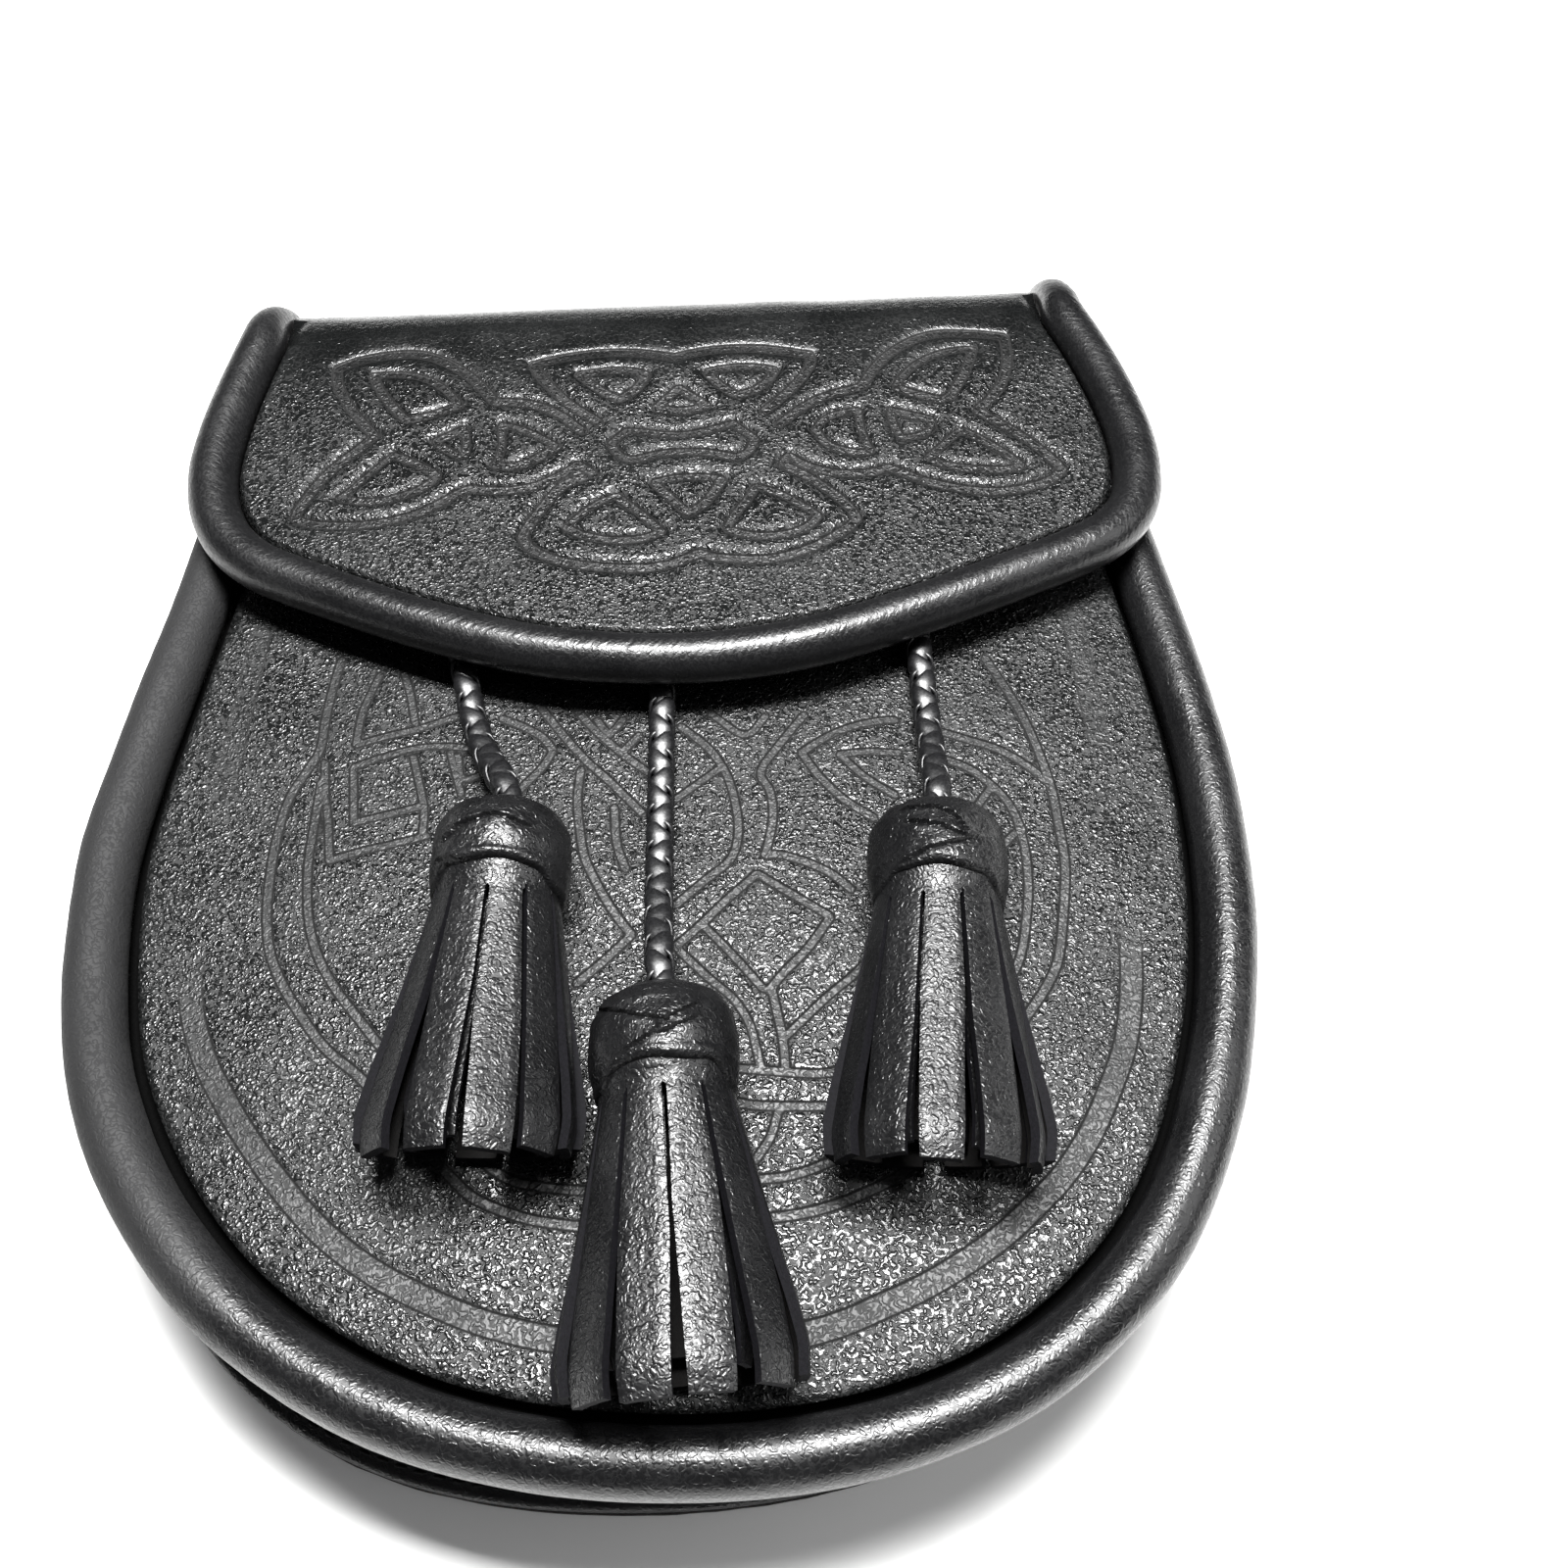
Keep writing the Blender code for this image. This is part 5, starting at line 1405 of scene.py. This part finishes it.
class POUCH_OT_back(bpy.types.Operator):
    """Cut the back panel and the gusset"""

    bl_idname = "pouch.back"
    bl_label = "Back and Gusset"

    def execute(self, context):
        make_back()
        return {"FINISHED"}


class POUCH_OT_rolls(bpy.types.Operator):
    """Roll the edges of the body and of the flap"""

    bl_idname = "pouch.rolls"
    bl_label = "Rolled Edges"

    def execute(self, context):
        make_rolls()
        return {"FINISHED"}


class POUCH_OT_fittings(bpy.types.Operator):
    """Make the D rings, their keepers and the press stud"""

    bl_idname = "pouch.fittings"
    bl_label = "Rings, Keepers and Stud"

    def execute(self, context):
        for name, way in (("left", -1), ("right", 1)):
            make_ring(f"d_ring_{name}", way)
            make_keeper(f"ring_keeper_{name}", way)
        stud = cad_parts["press_stud"]
        stud.data.materials.clear()
        stud.data.materials.append(material_of("steel"))
        return {"FINISHED"}


class POUCH_OT_stitches(bpy.types.Operator):
    """Sew the flap's edge, the back's edge and the keepers"""

    bl_idname = "pouch.stitches"
    bl_label = "Stitches"

    def execute(self, context):
        look = context.scene.pouch_look
        line = moved_out(roll_route(FLAP_ROWS, FLAP_LOWEST, 1.5), -FLAP_ROLL_D / 2 - 1.0)
        line = line[line[:, 1] < FOLD_Y + 1]
        line = np.column_stack([line, np.full(len(line), FLAP_Z + LEATHER / 2 - 0.75)])
        sew("flap_stitches", [line], pitch_mm=look.seam_pitch_mm, length_mm=1.7, thick_mm=0.8)
        back = foot_line(1.5, 2.2)
        back = back[back[:, 1] < 92]
        under = np.column_stack([back, back_z(back[:, 1]) + 0.05])
        over = np.column_stack([back, back_z(back[:, 1]) + LEATHER + GAP + 1.9])
        sew("back_stitches", [under, over], pitch_mm=3.2, length_mm=2.4, thick_mm=0.8)
        # Three sides of a box under each keeper. They lie 2.4 mm below its leather.
        x0, x1 = RING_AT[0] - KEEPER_LENGTH + 2.0, RING_AT[0] - 5.5
        y0, y1 = RING_AT[1] - KEEPER_WIDTH / 2 + 1.8, RING_AT[1] + KEEPER_WIDTH / 2 - 1.8
        box = even(np.array([(x1, y0), (x0, y0), (x0, y1), (x1, y1)]), 1.0)
        lines = [np.column_stack([box * (way, 1), np.full(len(box), 0.22)]) for way in (-1, 1)]
        sew("keeper_stitches", lines, pitch_mm=2.8, length_mm=2.1, thick_mm=0.7)
        return {"FINISHED"}


class POUCH_OT_stage(bpy.types.Operator):
    """Lay the floor and set the lights"""

    bl_idname = "pouch.stage"
    bl_label = "Stage"

    def execute(self, context):
        look = context.scene.pouch_look
        half = look.floor_metres / 2
        mesh = bpy.data.meshes.new("floor")
        mesh.from_pydata([(-half, -half, 0), (half, -half, 0), (half, half, 0), (-half, half, 0)], [], [(0, 1, 2, 3)])
        mesh.materials.append(material_of("floor"))
        floor = bpy.data.objects.new("floor", mesh)
        context.scene.collection.objects.link(floor)
        world = bpy.data.worlds.new("studio")
        world.use_nodes = True
        surround = world.node_tree.nodes["Background"]
        surround.inputs["Color"].default_value = (*look.world_colour, 1.0)
        surround.inputs["Strength"].default_value = look.world_light
        context.scene.world = world
        for name, at, aim, size, watts in (
            ("key", (0.035, 0.11, 0.85), (0, 0, 0.03), (0.4, 0.18), look.key_watts),
            ("fill", (0.7, -0.1, 0.6), (0, 0, 0.03), (0.5, 0.5), look.key_watts * 0.08),
        ):
            data = bpy.data.lights.new(name, "AREA")
            data.shape, data.size, data.size_y, data.energy = "RECTANGLE", *size, watts
            light = bpy.data.objects.new(name, data)
            light.location = at
            light.rotation_euler = (Vector(aim) - Vector(at)).to_track_quat("-Z", "Y").to_euler()
            context.scene.collection.objects.link(light)
        context.scene.view_settings.view_transform = "Standard"
        return {"FINISHED"}


class POUCH_PT_tools(bpy.types.Panel):
    """The pouch's pieces and settings"""

    bl_idname = "POUCH_PT_tools"
    bl_label = "Sporran Pouch"
    bl_space_type = "VIEW_3D"
    bl_region_type = "UI"
    bl_category = "Sporran"

    def draw(self, context):
        for step in STEPS:
            self.layout.operator(step.bl_idname)
        for label in PouchLook.__annotations__:
            self.layout.prop(context.scene.pouch_look, label)


STEPS = (POUCH_OT_camera, POUCH_OT_tassels, POUCH_OT_flap, POUCH_OT_front, POUCH_OT_back, POUCH_OT_rolls,
         POUCH_OT_fittings, POUCH_OT_stitches, POUCH_OT_stage)
CLASSES = (PouchLook, *STEPS, POUCH_PT_tools)


def register():
    """Add the settings, the tools and their panel to Blender."""
    for cls in CLASSES:
        bpy.utils.register_class(cls)
    bpy.types.Scene.pouch_look = PointerProperty(type=PouchLook)


def unregister():
    """Take them out again."""
    del bpy.types.Scene.pouch_look
    for cls in reversed(CLASSES):
        bpy.utils.unregister_class(cls)


def main():
    """Run the tools in order."""
    register()
    for step in STEPS:
        group, name = step.bl_idname.split(".")
        getattr(getattr(bpy.ops, group), name)()


if __name__ == "__main__":
    main()
